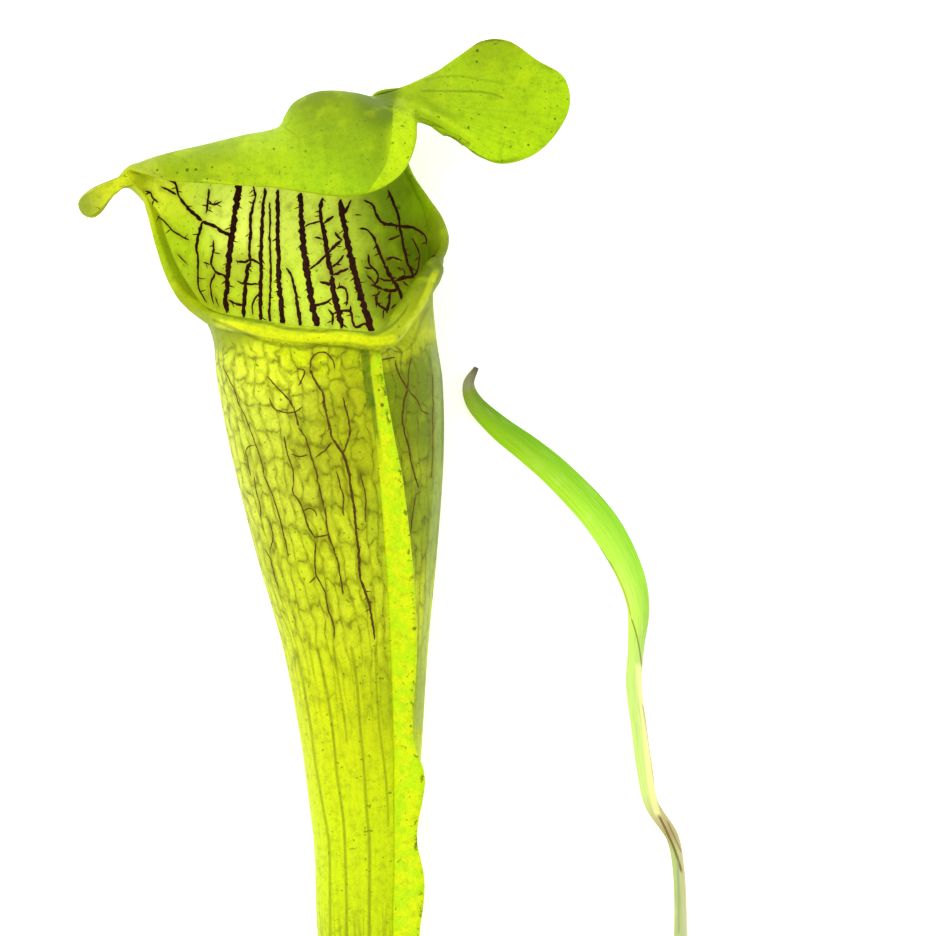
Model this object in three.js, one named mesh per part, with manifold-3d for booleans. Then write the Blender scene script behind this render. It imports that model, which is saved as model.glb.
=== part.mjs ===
// A trumpet pitcher plant lifted from the ground and laid on its back: one hollow pitcher leaf, one
// narrow strap leaf, and the short rhizome that both grow from, with a bud and roots.
//
// Millimetres, +Z up. +Y runs from the roots towards the hood and +Z is the front of the pitcher.
// The origin is on the flat spot that the pitcher rests on, under its mouth.
//
// The pitcher is one closed skin. Ribs run up its outside from the base to the margin of lip and hood,
// a smooth closed curve through the ribs makes each row, and the inner face follows one wall further in.

import * as THREE from "three";
import Module from "manifold-3d";
import { mergeVertices } from "three/addons/utils/BufferGeometryUtils.js";

// Driving dimensions

const WALL = 0.9; // leaf wall, outside to inside
const FLOOR = 0; // height of the surface that the plant lies on
const CAVITY_END = -188; // the hollow ends here, in the stalk
const STALK_END = -291.6; // the pitcher's foot, in its socket in the rhizome
const COLLAR = -8.1; // the last round section of the tube, just under the lip
const SOCKET_GAP = 0.3; // between a leaf's foot and its socket

const OUTER_ROWS = 13; // rows of the tube, foot to collar
const INNER_ROWS = 8; // rows of the hollow, collar to its end
const MARGIN_ROWS = 4; // rows round the edge of lip and hood

// A rib's levels above the collar: its sections of the mouth are 1, 2 and 3, the back column 4, the
// shoulder 5, the crest 6, the front 7 and the margin 8. Rows of the hood lie at these levels.
const TOP_LEVEL = 8;
const HOOD_LEVELS = [1, 2, 3, 3.6, 4.3, 5, 5.5, 6, 6.5, 7, 7.5, TOP_LEVEL];
// Near the front rows are spread evenly instead. The change runs between these angles from the front.
const EVEN_TO = 80;
const LEVEL_FROM = 125;

// Sections of the tube and, above the collar, of the hollow back of the mouth:
// height y, centre x, centre z, half width, half depth.
const TUBE = [
  [-291.6, 24.7, 7.6, 4.4, 4.2],
  [-273.6, 20.9, 7.4, 4.0, 3.8],
  [-246.6, 17.5, 7.3, 4.3, 4.1],
  [-210.6, 14.0, 7.6, 5.2, 4.9],
  [-174.6, 11.3, 8.2, 6.3, 6.0],
  [-138.6, 9.0, 8.6, 7.2, 6.9],
  [-109.0, 6.9, 9.0, 8.1, 7.7],
  [-93.6, 6.9, 9.8, 9.1, 8.6],
  [-75.6, 6.4, 11.3, 10.9, 10.3],
  [-57.6, 5.4, 13.0, 13.1, 12.3],
  [-39.6, 3.9, 15.6, 16.6, 15.2],
  [-21.6, 2.4, 17.9, 19.5, 17.8],
  [COLLAR, 0.9, 18.3, 20.5, 18.9],
  [0, -0.3, 18.4, 20.5, 19.1],
  [8, -3.6, 18.9, 23.6, 19.7],
  [20, -5, 20.5, 26.5, 19.8],
];
const MOUTH = TUBE.filter(([y]) => y > COLLAR);

// How far the sections are turned about the tube, in degrees, against the height y.
const TWIST = [
  [-291.6, 24],
  [-109, 22],
  [-75.6, 15],
  [-39.6, 6],
  [COLLAR, 0],
];

// The wing down the front: height y, how far it stands out.
const WING = [
  [-291.6, 0],
  [-275, 0],
  [-250, 1.5],
  [-180, 3.2],
  [-125, 4.4],
  [-109, 4.4],
  [-99, 5.8],
  [-90, 4.6],
  [-79, 6.4],
  [-66, 5.7],
  [-48, 5.6],
  [-30, 4.2],
  [-24, 3.4],
  [-19, 2.2],
  [-13, 1.8],
  [COLLAR, 1.7],
];
const WING_LEAN = 32; // degrees that it leans to the right of square
const WING_ROOT = 1.5; // half width of its root
const WING_HALF = 0.55; // half thickness of its blade
const WING_FADE = 0.95; // how fast it runs out between the collar and the lip
// Across the wing, left root to right root: sideways place, share of its height.
const WING_SECTION = [
  [-WING_HALF - 0.2, 0.3],
  [-WING_HALF, 0.9],
  [0, 1],
  [WING_HALF, 0.9],
  [WING_HALF + 0.2, 0.3],
];

// Ribs

const mix = (a, b, share) => a + (b - a) * share;

// One rib: its angle round the tube in degrees (0 is the front, positive to the right), how many of
// the MOUTH sections it passes through, the points from there to the margin, the margin's radius,
// the number of columns from this rib to the next, and its points' levels if they aren't evenly spread.
const rib = (angle, sections, points, radius, columns = 2, levels = undefined) => {
  const even = points.map((_, k) => mix(sections, TOP_LEVEL, (k + 1) / points.length));
  return { angle, sections, points, radius, columns, levels: levels ?? even };
};

const THIN = WALL / 2;
const LIP = 1.5;
const LIP_RIGHT = 2.1;

const lip = [
  rib(8, 0, [[3.6, -0.2, 38.5]], LIP),
  rib(-14, 0, [[-4.5, 0.6, 38]], LIP),
  rib(-40, 0, [[-12.8, 1.9, 34.8]], LIP),
  rib(-66, 0, [[-19.1, 3.2, 27.5]], 1.4),
];

const SIDE_LEVELS = [3, 4.25, TOP_LEVEL]; // so that these ribs' rows meet the tongue's
const leftFlank = [
  rib(-84, 1, [[-23.7, 5.3, 22]], 1.2),
  rib(-94, 1, [[-26.9, 7.7, 20.8]], 0.85),
  rib(-103, 1, [[-28.9, 10.8, 20]], 0.7),
  rib(-112, 2, [[-30.5, 15.6, 20.5]], 0.6),
  rib(-120, 2, [[-27, 13.5, 11.3], [-29.8, 17.4, 16.6], [-32, 20.9, 21.5]], 0.5, 2, SIDE_LEVELS),
  rib(-123.5, 2, [[-27, 17, 10.3], [-30.3, 20, 16.3], [-33.1, 23.9, 21.8]], THIN, 1, SIDE_LEVELS),
];

// The tongue at the mouth's left corner: lines across its root, its shoulder and its neck, lower to
// upper edge, and its outline.
const TONGUE_ROOT = [[-30.9, 21.8, 16.2], [-29.4, 25.2, 14.5]];
const TONGUE_SHOULDER = [[-34.1, 24.7, 20.2], [-33.2, 28.1, 18.8]];
const TONGUE_NECK = [[-36, 26, 22], [-35.8, 28.2, 21.6]];
const TONGUE_OUTLINE = [
  [-36.9, 24.8, 22.2],
  [-38.8, 22.9, 22.3],
  [-41.1, 20.1, 22],
  [-43.4, 20.6, 21.8],
  [-44.4, 22.6, 22],
  [-43.5, 24.4, 22.3],
  [-40.6, 26.1, 22.6],
  [-37.5, 27.3, 22.7],
];

// The hood's front: up the back column, over the crest, and down the flap to its lower margin.
const flap = [
  rib(
    -142,
    3,
    [[-28, 26.6, 13.2], [-31.3, 29.6, 17.4], [-32.6, 30.5, 20], [-33, 29.9, 22.3], [-33, 28.5, 23.6]],
    THIN,
  ),
  rib(
    -147,
    3,
    [[-25.5, 27, 11.2], [-28.6, 30.7, 16.2], [-28.8, 31.8, 19.3], [-28.6, 30, 22.5], [-28.3, 27.1, 24.5]],
    THIN,
  ),
  rib(
    -154,
    3,
    [[-20.5, 28, 8], [-22, 31.8, 12.6], [-22, 33.5, 17.3], [-21.8, 31, 22.5], [-21.6, 26.6, 26]],
    THIN,
  ),
  rib(
    -161,
    3,
    [[-14.5, 29, 5.8], [-15.1, 33.1, 11], [-15.3, 35.2, 16.3], [-15, 32, 22.5], [-14.8, 26.1, 27.5]],
    THIN,
  ),
  rib(
    -168,
    3,
    [[-9.8, 29.8, 4.6], [-8.9, 34.7, 9.8], [-8.4, 36.9, 15.6], [-8.4, 33, 22.5], [-8.1, 25.6, 28.5]],
    THIN,
    1,
  ),
  rib(
    -171,
    3,
    [[-8, 30.4, 4.2], [-7.2, 36.4, 9.1], [-7.4, 38.9, 14.4], [-6.5, 33.8, 21.8], [-5.9, 25.2, 28.8]],
    THIN,
    1,
  ),
  rib(
    -174,
    3,
    [[-6.4, 31, 3.8], [-5.7, 38.6, 8.3], [-5.9, 41.2, 13.2], [-4.5, 34.7, 21.3], [-3.6, 24.9, 29]],
    THIN,
  ),
  rib(
    -178,
    3,
    [[-4.6, 31, 3.8], [-3.7, 39.8, 8.6], [-3, 42.8, 13.6], [-1.2, 35.4, 21.5], [0.9, 24.2, 29.3]],
    THIN,
  ),
  rib(
    -182,
    3,
    [[-3, 31, 3.8], [-2.1, 40.2, 8.8], [-1, 43.3, 14.3], [2.2, 35.8, 22], [4.9, 24.1, 29.3]],
    THIN,
  ),
  rib(
    -185,
    3,
    [[-1.6, 31, 3.8], [-0.8, 40.4, 9], [0.6, 43.4, 14.7], [5, 36.2, 22.3], [8.6, 24.8, 29]],
    THIN,
  ),
  rib(
    -188,
    3,
    [[-0.4, 31, 3.9], [0.4, 40.5, 9.1], [2, 43.4, 14.9], [7, 37, 22.3], [11.5, 26.2, 27.8]],
    THIN,
    1,
  ),
];

// The strip at the flap's right end, up to the corner under the paddle's neck.
const strip = [
  rib(
    -191,
    3,
    [[0.8, 31, 4], [1.5, 40.5, 9.1], [3.1, 43.3, 14.9], [8.4, 37.8, 21.6], [14.1, 28.4, 26.3]],
    THIN,
    1,
  ),
  rib(
    -193.5,
    3,
    [[1.8, 31, 4.1], [2.4, 40.4, 9], [4, 43.2, 14.7], [9.2, 38.6, 20.9], [15.8, 31.5, 24.3]],
    THIN,
    1,
  ),
  rib(
    -196,
    3,
    [[2.8, 31, 4.3], [3.2, 40.3, 8.9], [4.7, 43.1, 14.4], [9.8, 39.4, 20], [16.6, 34.6, 22]],
    THIN,
    1,
  ),
  rib(
    -198,
    3,
    [[3.6, 31, 4.5], [3.8, 40.2, 8.8], [5.3, 43, 14.1], [10.4, 40.2, 18.8], [17, 37.9, 19.5]],
    THIN,
    1,
  ),
];

// The paddle: lines across its column, shoulder, crest and neck, lower to upper edge, and its outline
// from the corner round.
const PADDLE_COLUMN = [[4.1, 31, 4.6], [12.3, 31, 6.9]];
const PADDLE_SHOULDER = [[4.2, 40.2, 8.8], [8.7, 39.7, 8.3]];
const PADDLE_CREST = [[5.7, 42.9, 13.9], [8.2, 42.1, 11.2]];
const PADDLE_RISE = [[10.9, 40.6, 18], [10.6, 43, 13]];
const PADDLE_NECK = [[16.6, 39.2, 18.2], [13.8, 44, 13.4]];
const PADDLE_OUTLINE = [
  [20.9, 35.6, 17.5],
  [26.2, 31.5, 16],
  [31.5, 29.7, 14.5],
  [37.6, 31.4, 13.2],
  [42.1, 35.4, 12.4],
  [44.3, 41, 12],
  [43.2, 46, 12],
  [38.6, 49.6, 12.4],
  [33, 52.6, 12.8],
  [28.4, 52.6, 13.2],
  [23.2, 49.2, 13.4],
  [18.6, 46.3, 13.4],
  [15.6, 44.9, 13.4],
];
const PADDLE_DOME = 1.2; // how far the middle of the paddle stands forward
const PADDLE_LEVELS = [4, 5, 6, 6.5, 7, 7.5, TOP_LEVEL];

// The free right edge of the back column, down to the mouth's right side.
const rightFlank = [
  rib(-231.5, 3, [[12.8, 31, 7.1], [9.3, 39.7, 8.4], [9.2, 42.3, 11.6]], THIN, 1, [4, 5, TOP_LEVEL]),
  rib(-234, 3, [[13.4, 31, 7.5], [10.4, 40.7, 9.2]], THIN, 1, [4, TOP_LEVEL]),
  rib(-237, 3, [[14.1, 30, 8], [12.3, 37.2, 8.4]], THIN, 1, [4, TOP_LEVEL]),
  rib(-241, 3, [[13.8, 33.5, 9]], THIN, 1),
  rib(-246, 3, [[15.2, 29.5, 11]], 0.5),
  rib(-253, 2, [[19.5, 15, 13.6], [18.6, 24.2, 14]], 0.6, 2, [3, TOP_LEVEL]),
  rib(-261, 2, [[21.2, 20.2, 17.3]], 0.65),
  rib(-269, 2, [[22, 17, 19]], 0.75),
  rib(-276, 2, [[20.7, 13.8, 21]], 0.8, 1),
  rib(-281, 1, [[18.5, 12.8, 23.3]], 1.9),
  rib(-290, 1, [[17, 10.8, 26]], LIP_RIGHT),
  rib(-304, 1, [[15.1, 7.7, 29.5]], LIP_RIGHT),
  rib(-320, 1, [[13.1, 4.4, 33]], 2),
];

// The two ribs on either side of the wing, which ends under the lip's lowest point.
const WING_ANGLE = 24;
const wingRibs = [
  rib(WING_ANGLE + 4 - 360, 0, [[11, 0.4, 36.6]], 1.8),
  rib(WING_ANGLE - 4, 0, [[8.4, -0.4, 37.8]], 1.7),
];

// The narrow leaf, tip to foot: the middle of the blade, its width, how far its right edge turns down
// in degrees, and how high its lowest edge lies.
const STRAP = [
  [26.9, -6.5, 0.9, 0, 2.2],
  [25.9, -9.5, 2.1, 10, 1.6],
  [26.8, -12.6, 3.2, 10, 1],
  [31.1, -17.1, 4.3, 5, 0.5],
  [36.9, -21.6, 5.1, 0, 0.2],
  [42.2, -26.1, 5.5, 0, 0],
  [50, -35.1, 5.9, 0, 0],
  [54.7, -44.1, 5.1, 0, 0],
  [56.4, -50, 4.4, 20, 0],
  [56, -57.6, 4.2, 48, 0],
  [55.6, -64, 4.2, 50, 0],
  [56.5, -72, 4.1, 50, 0],
  [57.6, -80.1, 4, 48, 0],
  [59, -86, 4, 55, 0],
  [62.4, -92, 4, 62, 0],
  [63.8, -98.1, 3.6, 58, 0],
  [64.1, -109, 3.6, 52, 0],
  [64.2, -130, 3.8, 30, 0],
  [62, -160, 4, 0, 0],
  [56, -200, 4.2, 0, 0],
  [47.5, -245, 4.4, 0, 0.3],
  [41, -277, 4.8, 0, 1.2],
  [38.4, -291.2, 5.4, 0, 2],
];
const STRAP_THICK = 0.9;
const STRAP_FOOT_THICK = 3;
const STRAP_STEPS = 46;
const STRAP_SIDES = 8;
const STRAP_FOLD = 0.1; // how far each edge bends up, as a share of the width

// The bud of the next leaf: distance from its foot, radius.
const BUD = [
  [0, 2.3],
  [5, 2.6],
  [12, 2.3],
  [19, 1.5],
  [25, 0.6],
];
const BUD_FOOT = [31.6, -290.5, 12.4];
const BUD_LEAN = [-0.03, 1, 0.06];
const BUD_SIDES = 12;

// The rhizome, crown to old end: height y, centre x, half width, half depth.
const RHIZOME = [
  [-283.5, 31, 6.5, 4.8],
  [-286, 31, 10.6, 7.8],
  [-290, 31, 12.6, 8.7],
  [-296, 31.2, 12.2, 8.5],
  [-303, 31.8, 10.6, 8],
  [-311, 32.6, 9.8, 7.6],
  [-319, 33.4, 8.8, 7],
  [-324, 33.8, 6.4, 5.4],
];
const RHIZOME_SIDES = 24;
const RHIZOME_STEP = 2; // mm between its rings
const RHIZOME_SINK = 0.4; // how much of its underside is flattened
const SCAR_EVERY = 5.2; // mm between the rings that old leaves left
const SCAR_HEIGHT = 0.45;

// The roots: each leaves the rhizome sideways, drops to the surface and wanders along it.
const ROOT_COUNT = 12;
const ROOT_LENGTH = [26, 40];
const ROOT_RADIUS = [0.95, 0.5]; // where it leaves the rhizome, at its tip
const ROOT_STEPS = 13;
const ROOT_SIDES = 6;

// Curves and tables

const mixPoint = (a, b, share) => a.map((value, k) => mix(value, b[k], share));
const radians = THREE.MathUtils.degToRad;

// A smooth value of each further column of a table at the first column's value x.
function lookUp(table, x) {
  const last = table.length - 1;
  let i = 0;
  while (i < last - 1 && x > table[i + 1][0]) i += 1;
  const row = (k) => table[Math.min(Math.max(k, 0), last)];
  const slope = (k, column) => {
    const before = row(k - 1);
    const after = row(k + 1);
    return (after[column] - before[column]) / (after[0] - before[0]);
  };
  const start = table[i];
  const end = table[i + 1];
  const width = end[0] - start[0];
  const t = THREE.MathUtils.clamp((x - start[0]) / width, 0, 1);
  return start.slice(1).map((value, k) => {
    const column = k + 1;
    const rise = end[column] - value;
    const a = slope(i, column) * width - rise;
    const b = rise - slope(i + 1, column) * width;
    return value + rise * t + t * (1 - t) * (a * (1 - t) + b * t);
  });
}

// The point of the tube's outside at height y and angle degrees from its front.
function tubePoint(y, angle, grow = 0) {
  const [x, z, halfWidth, halfDepth] = lookUp(TUBE, y);
  const turn = radians(angle + lookUp(TWIST, Math.min(y, COLLAR))[0]);
  const across = x + (halfWidth + grow) * Math.sin(turn);
  return new THREE.Vector3(across, y, z + (halfDepth + grow) * Math.cos(turn));
}

// A number from 0 to 1 that looks random but is the same each time.
function chance(seed) {
  const value = Math.sin(seed * 12.9898) * 43758.5453;
  return value - Math.floor(value);
}

// Closed solids from rows of points

// Six times the volume inside a closed surface, below zero where its faces point inwards.
function sixVolumes(points, index) {
  let total = 0;
  for (let k = 0; k < index.length; k += 3) {
    const [a, b, c] = index.slice(k, k + 3).map((i) => points[i]);
    total += a.dot(new THREE.Vector3().crossVectors(b, c));
  }
  return total;
}

// A closed solid whose rows are rings of equal length, closed by one point at each end.
function ringSolid(rows, first, last) {
  const width = rows[0].length;
  const points = [first, ...rows.flat(), last];
  const at = (row, column) => 1 + row * width + (column % width);
  const end = points.length - 1;
  const index = [];
  for (let j = 0; j < width; j += 1) {
    index.push(0, at(0, j), at(0, j + 1));
    index.push(end, at(rows.length - 1, j + 1), at(rows.length - 1, j));
    for (let i = 0; i < rows.length - 1; i += 1) {
      index.push(at(i, j), at(i + 1, j + 1), at(i, j + 1));
      index.push(at(i, j), at(i + 1, j), at(i + 1, j + 1));
    }
  }
  if (sixVolumes(points, index) < 0) index.reverse();
  const geometry = new THREE.BufferGeometry().setFromPoints(points);
  geometry.setIndex(index);
  return geometry;
}

const wasm = await Module();
wasm.setup();

// A geometry as a solid for joining and cutting.
function solidOf(geometry) {
  const merged = mergeVertices(geometry);
  return new wasm.Manifold(
    new wasm.Mesh({
      numProp: 3,
      vertProperties: new Float32Array(merged.attributes.position.array),
      triVerts: new Uint32Array(merged.index.array),
    }),
  );
}

// A joined or cut solid as a geometry again.
function geometryOf(solid) {
  const mesh = solid.getMesh();
  const geometry = new THREE.BufferGeometry();
  geometry.setAttribute("position", new THREE.BufferAttribute(mesh.vertProperties, 3));
  geometry.setIndex(new THREE.BufferAttribute(mesh.triVerts, 1));
  return geometry;
}

// The pitcher

function tongueRibs() {
  const ribs = [
    rib(-126.5, 3, [[-30.7, 21.2, 16.3], [-35.1, 25.7, 22]], THIN, 1, [4.25, TOP_LEVEL]),
  ];
  TONGUE_OUTLINE.forEach((tip, k) => {
    const share = (k + 0.5) / TONGUE_OUTLINE.length;
    const lines = [TONGUE_ROOT, TONGUE_SHOULDER, TONGUE_NECK];
    ribs.push(rib(-129 - 9 * share, 3, [...lines.map((line) => mixPoint(...line, share)), tip], THIN, 1));
  });
  const last = [[-28.9, 26, 14], [-32.9, 29, 19], [-34.6, 29.8, 21], [-35.6, 29.2, 22.6]];
  ribs.push(rib(-139.5, 3, last, THIN, 1));
  return ribs;
}

function paddleRibs() {
  return PADDLE_OUTLINE.map((edge, k) => {
    const share = (k + 0.5) / PADDLE_OUTLINE.length;
    const lines = [PADDLE_COLUMN, PADDLE_SHOULDER, PADDLE_CREST, PADDLE_RISE, PADDLE_NECK];
    const points = lines.map((line) => mixPoint(...line, share));
    const middle = mixPoint(points.at(-1), edge, 0.5);
    middle[2] += PADDLE_DOME * Math.sin(Math.PI * share);
    return rib(-200 - 29 * share, 3, [...points, middle, edge], THIN, 1, PADDLE_LEVELS);
  });
}

// The height of a row of the tube's outside.
const tubeHeight = (row) => mix(STALK_END, COLLAR, row / (OUTER_ROWS - 1));

// Where the bead of a margin leaves the wall: its angle, and its distance from the margin.
function beadStart(radius) {
  const angle = -Math.acos((WALL - radius) / radius);
  return { angle, distance: radius * (1 - Math.sin(angle)) };
}

// A rib's points at the HOOD_LEVELS, the last one where the bead starts.
function upperPoints({ angle, sections, points, radius, levels }) {
  const heights = [COLLAR, ...MOUTH.map(([y]) => y)].slice(0, sections + 1);
  const passed = heights.map((y) => tubePoint(y, angle));
  const through = passed.concat(points.map((p) => new THREE.Vector3(...p)));
  const at = [...heights.keys(), ...levels];
  const curve = new THREE.CatmullRomCurve3(through, false, "centripetal");
  const end = curve.getUtoTmapping(0, curve.getLength() - beadStart(radius).distance);
  const fromFront = Math.min(Math.abs(angle), 360 + angle);
  const weight = THREE.MathUtils.clamp((fromFront - EVEN_TO) / (LEVEL_FROM - EVEN_TO), 0, 1);
  return HOOD_LEVELS.map((level) => {
    const k = at.findIndex((next) => next >= level) - 1;
    const byLevel = (k + (level - at[k]) / (at[k + 1] - at[k])) / (at.length - 1);
    const even = curve.getUtoTmapping(level / TOP_LEVEL);
    return curve.getPoint(end * mix(even, byLevel, weight));
  });
}

// All rows of the outside, foot to margin, each as one point for each rib.
function ribRows(ribs, tubeHeights) {
  const uppers = ribs.map(upperPoints);
  const rows = tubeHeights.map((y) => ribs.map(({ angle }) => tubePoint(y, angle)));
  return rows.concat(HOOD_LEVELS.map((_, k) => uppers.map((upper) => upper[k])));
}

function pitcherGeometry() {
  const ribs = [...wingRibs.slice(1), ...lip, ...leftFlank, ...tongueRibs(), ...flap, ...strip]
    .concat(paddleRibs(), rightFlank, wingRibs.slice(0, 1));
  // The places of the columns, counted in ribs, with the wing's own between the last rib and the first.
  const columns = [];
  ribs.forEach(({ columns: count, radius }, k) => {
    const next = ribs[(k + 1) % ribs.length].radius;
    if (k === ribs.length - 1) {
      columns.push({ at: k, radius });
      [...WING_SECTION].reverse().forEach(([side, height]) => {
        const share = 0.5 - (0.5 * side) / WING_ROOT;
        columns.push({ at: k + share, radius: mix(radius, next, share), side, height });
      });
      return;
    }
    for (let i = 0; i < count; i += 1) {
      const share = i / count;
      columns.push({ at: k + share, radius: mix(radius, next, share) });
    }
  });

  const heights = Array.from({ length: OUTER_ROWS }, (_, k) => tubeHeight(k));
  const across = (row) => {
    const curve = new THREE.CatmullRomCurve3(row, true, "centripetal");
    return columns.map(({ at }) => curve.getPoint(at / row.length));
  };
  const skin = ribRows(ribs, heights).map(across);
  const margin = across(ribs.map(({ points }) => new THREE.Vector3(...points.at(-1))));

  const normals = skin.map((row, i) =>
    row.map((_, j) => {
      const round = new THREE.Vector3().subVectors(row[(j + 1) % row.length], row.at(j - 1));
      const up = new THREE.Vector3().subVectors(
        (skin[i + 1] ?? margin)[j],
        skin[Math.max(i - 1, 0)][j],
      );
      return up.cross(round).normalize();
    }),
  );

  // How far the wing stands out of row i. It runs out between the collar and the lip.
  const wingLift = (i, j) => {
    const { side, height } = columns[j];
    if (side === undefined) return new THREE.Vector3();
    const out = normals[i][j].clone();
    const right = new THREE.Vector3(0, 1, 0).cross(out).normalize();
    const rootHalf = skin[i][0].distanceTo(skin[i].at(-1 - WING_SECTION.length)) / 2;
    const past = Math.max(0, i - OUTER_ROWS + 1) / HOOD_LEVELS.length;
    const fade = Math.max(0, 1 - WING_FADE * past);
    const stand = fade * Math.max(0, lookUp(WING, Math.min(skin[i][j].y, COLLAR))[0]);
    const lean = radians(WING_LEAN);
    out.multiplyScalar(Math.cos(lean)).addScaledVector(right, Math.sin(lean));
    const aside = fade * side * (1 - rootHalf / WING_ROOT);
    return out.multiplyScalar(stand * height).addScaledVector(right, aside);
  };
  const outside = skin.map((row, i) => row.map((p, j) => p.clone().add(wingLift(i, j))));
  outside.flat().forEach((p) => {
    p.z = Math.max(p.z, FLOOR);
  });

  // The rolled edge.
  const edge = Array.from({ length: MARGIN_ROWS }, (_, k) =>
    margin.map((top, j) => {
      const { radius } = columns[j];
      const normal = normals.at(-1)[j];
      const along = new THREE.Vector3().subVectors(margin[(j + 1) % margin.length], margin.at(j - 1));
      const outward = new THREE.Vector3().crossVectors(along, normal).normalize();
      if (outward.dot(new THREE.Vector3().subVectors(top, skin.at(-1)[j])) < 0) outward.negate();
      const start = beadStart(radius).angle;
      const angle = mix(start, radians(160), (k + 1) / MARGIN_ROWS);
      return top
        .clone()
        .addScaledVector(outward, radius * (Math.sin(angle) - 1))
        .addScaledVector(normal, radius - WALL + radius * Math.cos(angle));
    }),
  );

  // The inside, margin to the end of the hollow.
  const inside = [];
  for (let i = skin.length - 1; i >= OUTER_ROWS; i -= 1) {
    inside.push(skin[i].map((p, j) => p.clone().addScaledVector(normals[i][j], -WALL)));
  }
  for (let k = 0; k < INNER_ROWS; k += 1) {
    const y = mix(COLLAR, CAVITY_END, k / (INNER_ROWS - 1));
    const row = across(ribs.map(({ angle }) => tubePoint(y, angle, -WALL)));
    inside.push(row);
  }
  inside.flat().forEach((p) => {
    p.z = Math.max(p.z, FLOOR + WALL);
  });

  const [footX, footZ] = lookUp(TUBE, STALK_END);
  const [endX, endZ] = lookUp(TUBE, CAVITY_END);
  return ringSolid(
    [...outside, ...edge, ...inside],
    new THREE.Vector3(footX, STALK_END, footZ),
    new THREE.Vector3(endX, CAVITY_END - 2, endZ),
  );
}

// The narrow leaf

// A flat blade along the STRAP table; grow makes it that much larger all round.
function strapGeometry(grow = 0) {
  const middle = new THREE.CatmullRomCurve3(STRAP.map(([x, y]) => new THREE.Vector3(x, y, 0)));
  const rows = Array.from({ length: STRAP_STEPS + 1 }, (_, k) => {
    const share = k / STRAP_STEPS;
    const place = share * (STRAP.length - 1);
    const [width, turn, lift] = lookUp(STRAP.map((row, i) => [i, ...row.slice(2)]), place);
    const thick = mix(STRAP_THICK, STRAP_FOOT_THICK, THREE.MathUtils.smoothstep(share, 0.9, 1));
    const along = middle.getTangent(share);
    const side = new THREE.Vector3(along.y, -along.x, 0).negate();
    const lean = radians(turn);
    const across = side.multiplyScalar(Math.cos(lean)).add(new THREE.Vector3(0, 0, -Math.sin(lean)));
    const up = new THREE.Vector3().crossVectors(across, along);
    const low = (width / 2) * Math.sin(lean) + (thick / 2) * Math.cos(lean);
    const centre = middle.getPoint(share).setZ(low + lift);
    return Array.from({ length: STRAP_SIDES }, (_, i) => {
      const angle = (2 * Math.PI * i) / STRAP_SIDES;
      const out = (width / 2 + grow) * Math.cos(angle);
      const rise = (thick / 2 + grow) * Math.sin(angle) + STRAP_FOLD * width * Math.cos(angle) ** 2;
      const point = centre.clone().addScaledVector(across, out).addScaledVector(up, rise);
      return point.setZ(Math.max(FLOOR, point.z));
    });
  });
  const first = middle.getPoint(0).setZ(rows[0][0].z);
  const last = rows.at(-1).reduce((sum, p) => sum.add(p), new THREE.Vector3()).divideScalar(STRAP_SIDES);
  last.y -= grow;
  return ringSolid(rows, first, last);
}

// The bud

function budGeometry(grow = 0) {
  const foot = new THREE.Vector3(...BUD_FOOT);
  const along = new THREE.Vector3(...BUD_LEAN).normalize();
  const side = new THREE.Vector3(0, 0, 1).cross(along).normalize();
  const up = new THREE.Vector3().crossVectors(along, side);
  const rows = BUD.map(([distance, radius]) =>
    Array.from({ length: BUD_SIDES }, (_, i) => {
      const angle = (2 * Math.PI * i) / BUD_SIDES;
      return foot
        .clone()
        .addScaledVector(along, distance)
        .addScaledVector(side, (radius + grow) * Math.cos(angle))
        .addScaledVector(up, (radius + grow) * Math.sin(angle));
    }),
  );
  const tip = foot.clone().addScaledVector(along, BUD.at(-1)[0] + 1.5);
  return ringSolid(rows, foot.clone().addScaledVector(along, -grow), tip);
}

// The rhizome and its roots

function rhizomeBody() {
  const table = [...RHIZOME].reverse();
  const [from, to] = [RHIZOME[0][0], RHIZOME.at(-1)[0]];
  const count = Math.round((from - to) / RHIZOME_STEP);
  const rows = Array.from({ length: count + 1 }, (_, k) => {
    const y = mix(from, to, k / count);
    const [x, halfWidth, halfDepth] = lookUp(table, y);
    const scar = SCAR_HEIGHT * Math.cos((2 * Math.PI * y) / SCAR_EVERY);
    return Array.from({ length: RHIZOME_SIDES }, (_, i) => {
      const angle = (2 * Math.PI * i) / RHIZOME_SIDES;
      const bump = scar + 0.5 * Math.sin(3 * angle + y) + 0.3 * Math.sin(5 * angle - 0.7 * y);
      const z = halfDepth - RHIZOME_SINK + (halfDepth + bump) * Math.sin(angle);
      return new THREE.Vector3(x + (halfWidth + bump) * Math.cos(angle), y, Math.max(FLOOR, z));
    });
  });
  const end = ([p, ...others], shift) => {
    const across = others[RHIZOME_SIDES / 2 - 1];
    return new THREE.Vector3((p.x + across.x) / 2, p.y + shift, p.z);
  };
  return ringSolid(rows, end(rows[0], 1), end(rows.at(-1), -1.5));
}

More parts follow.
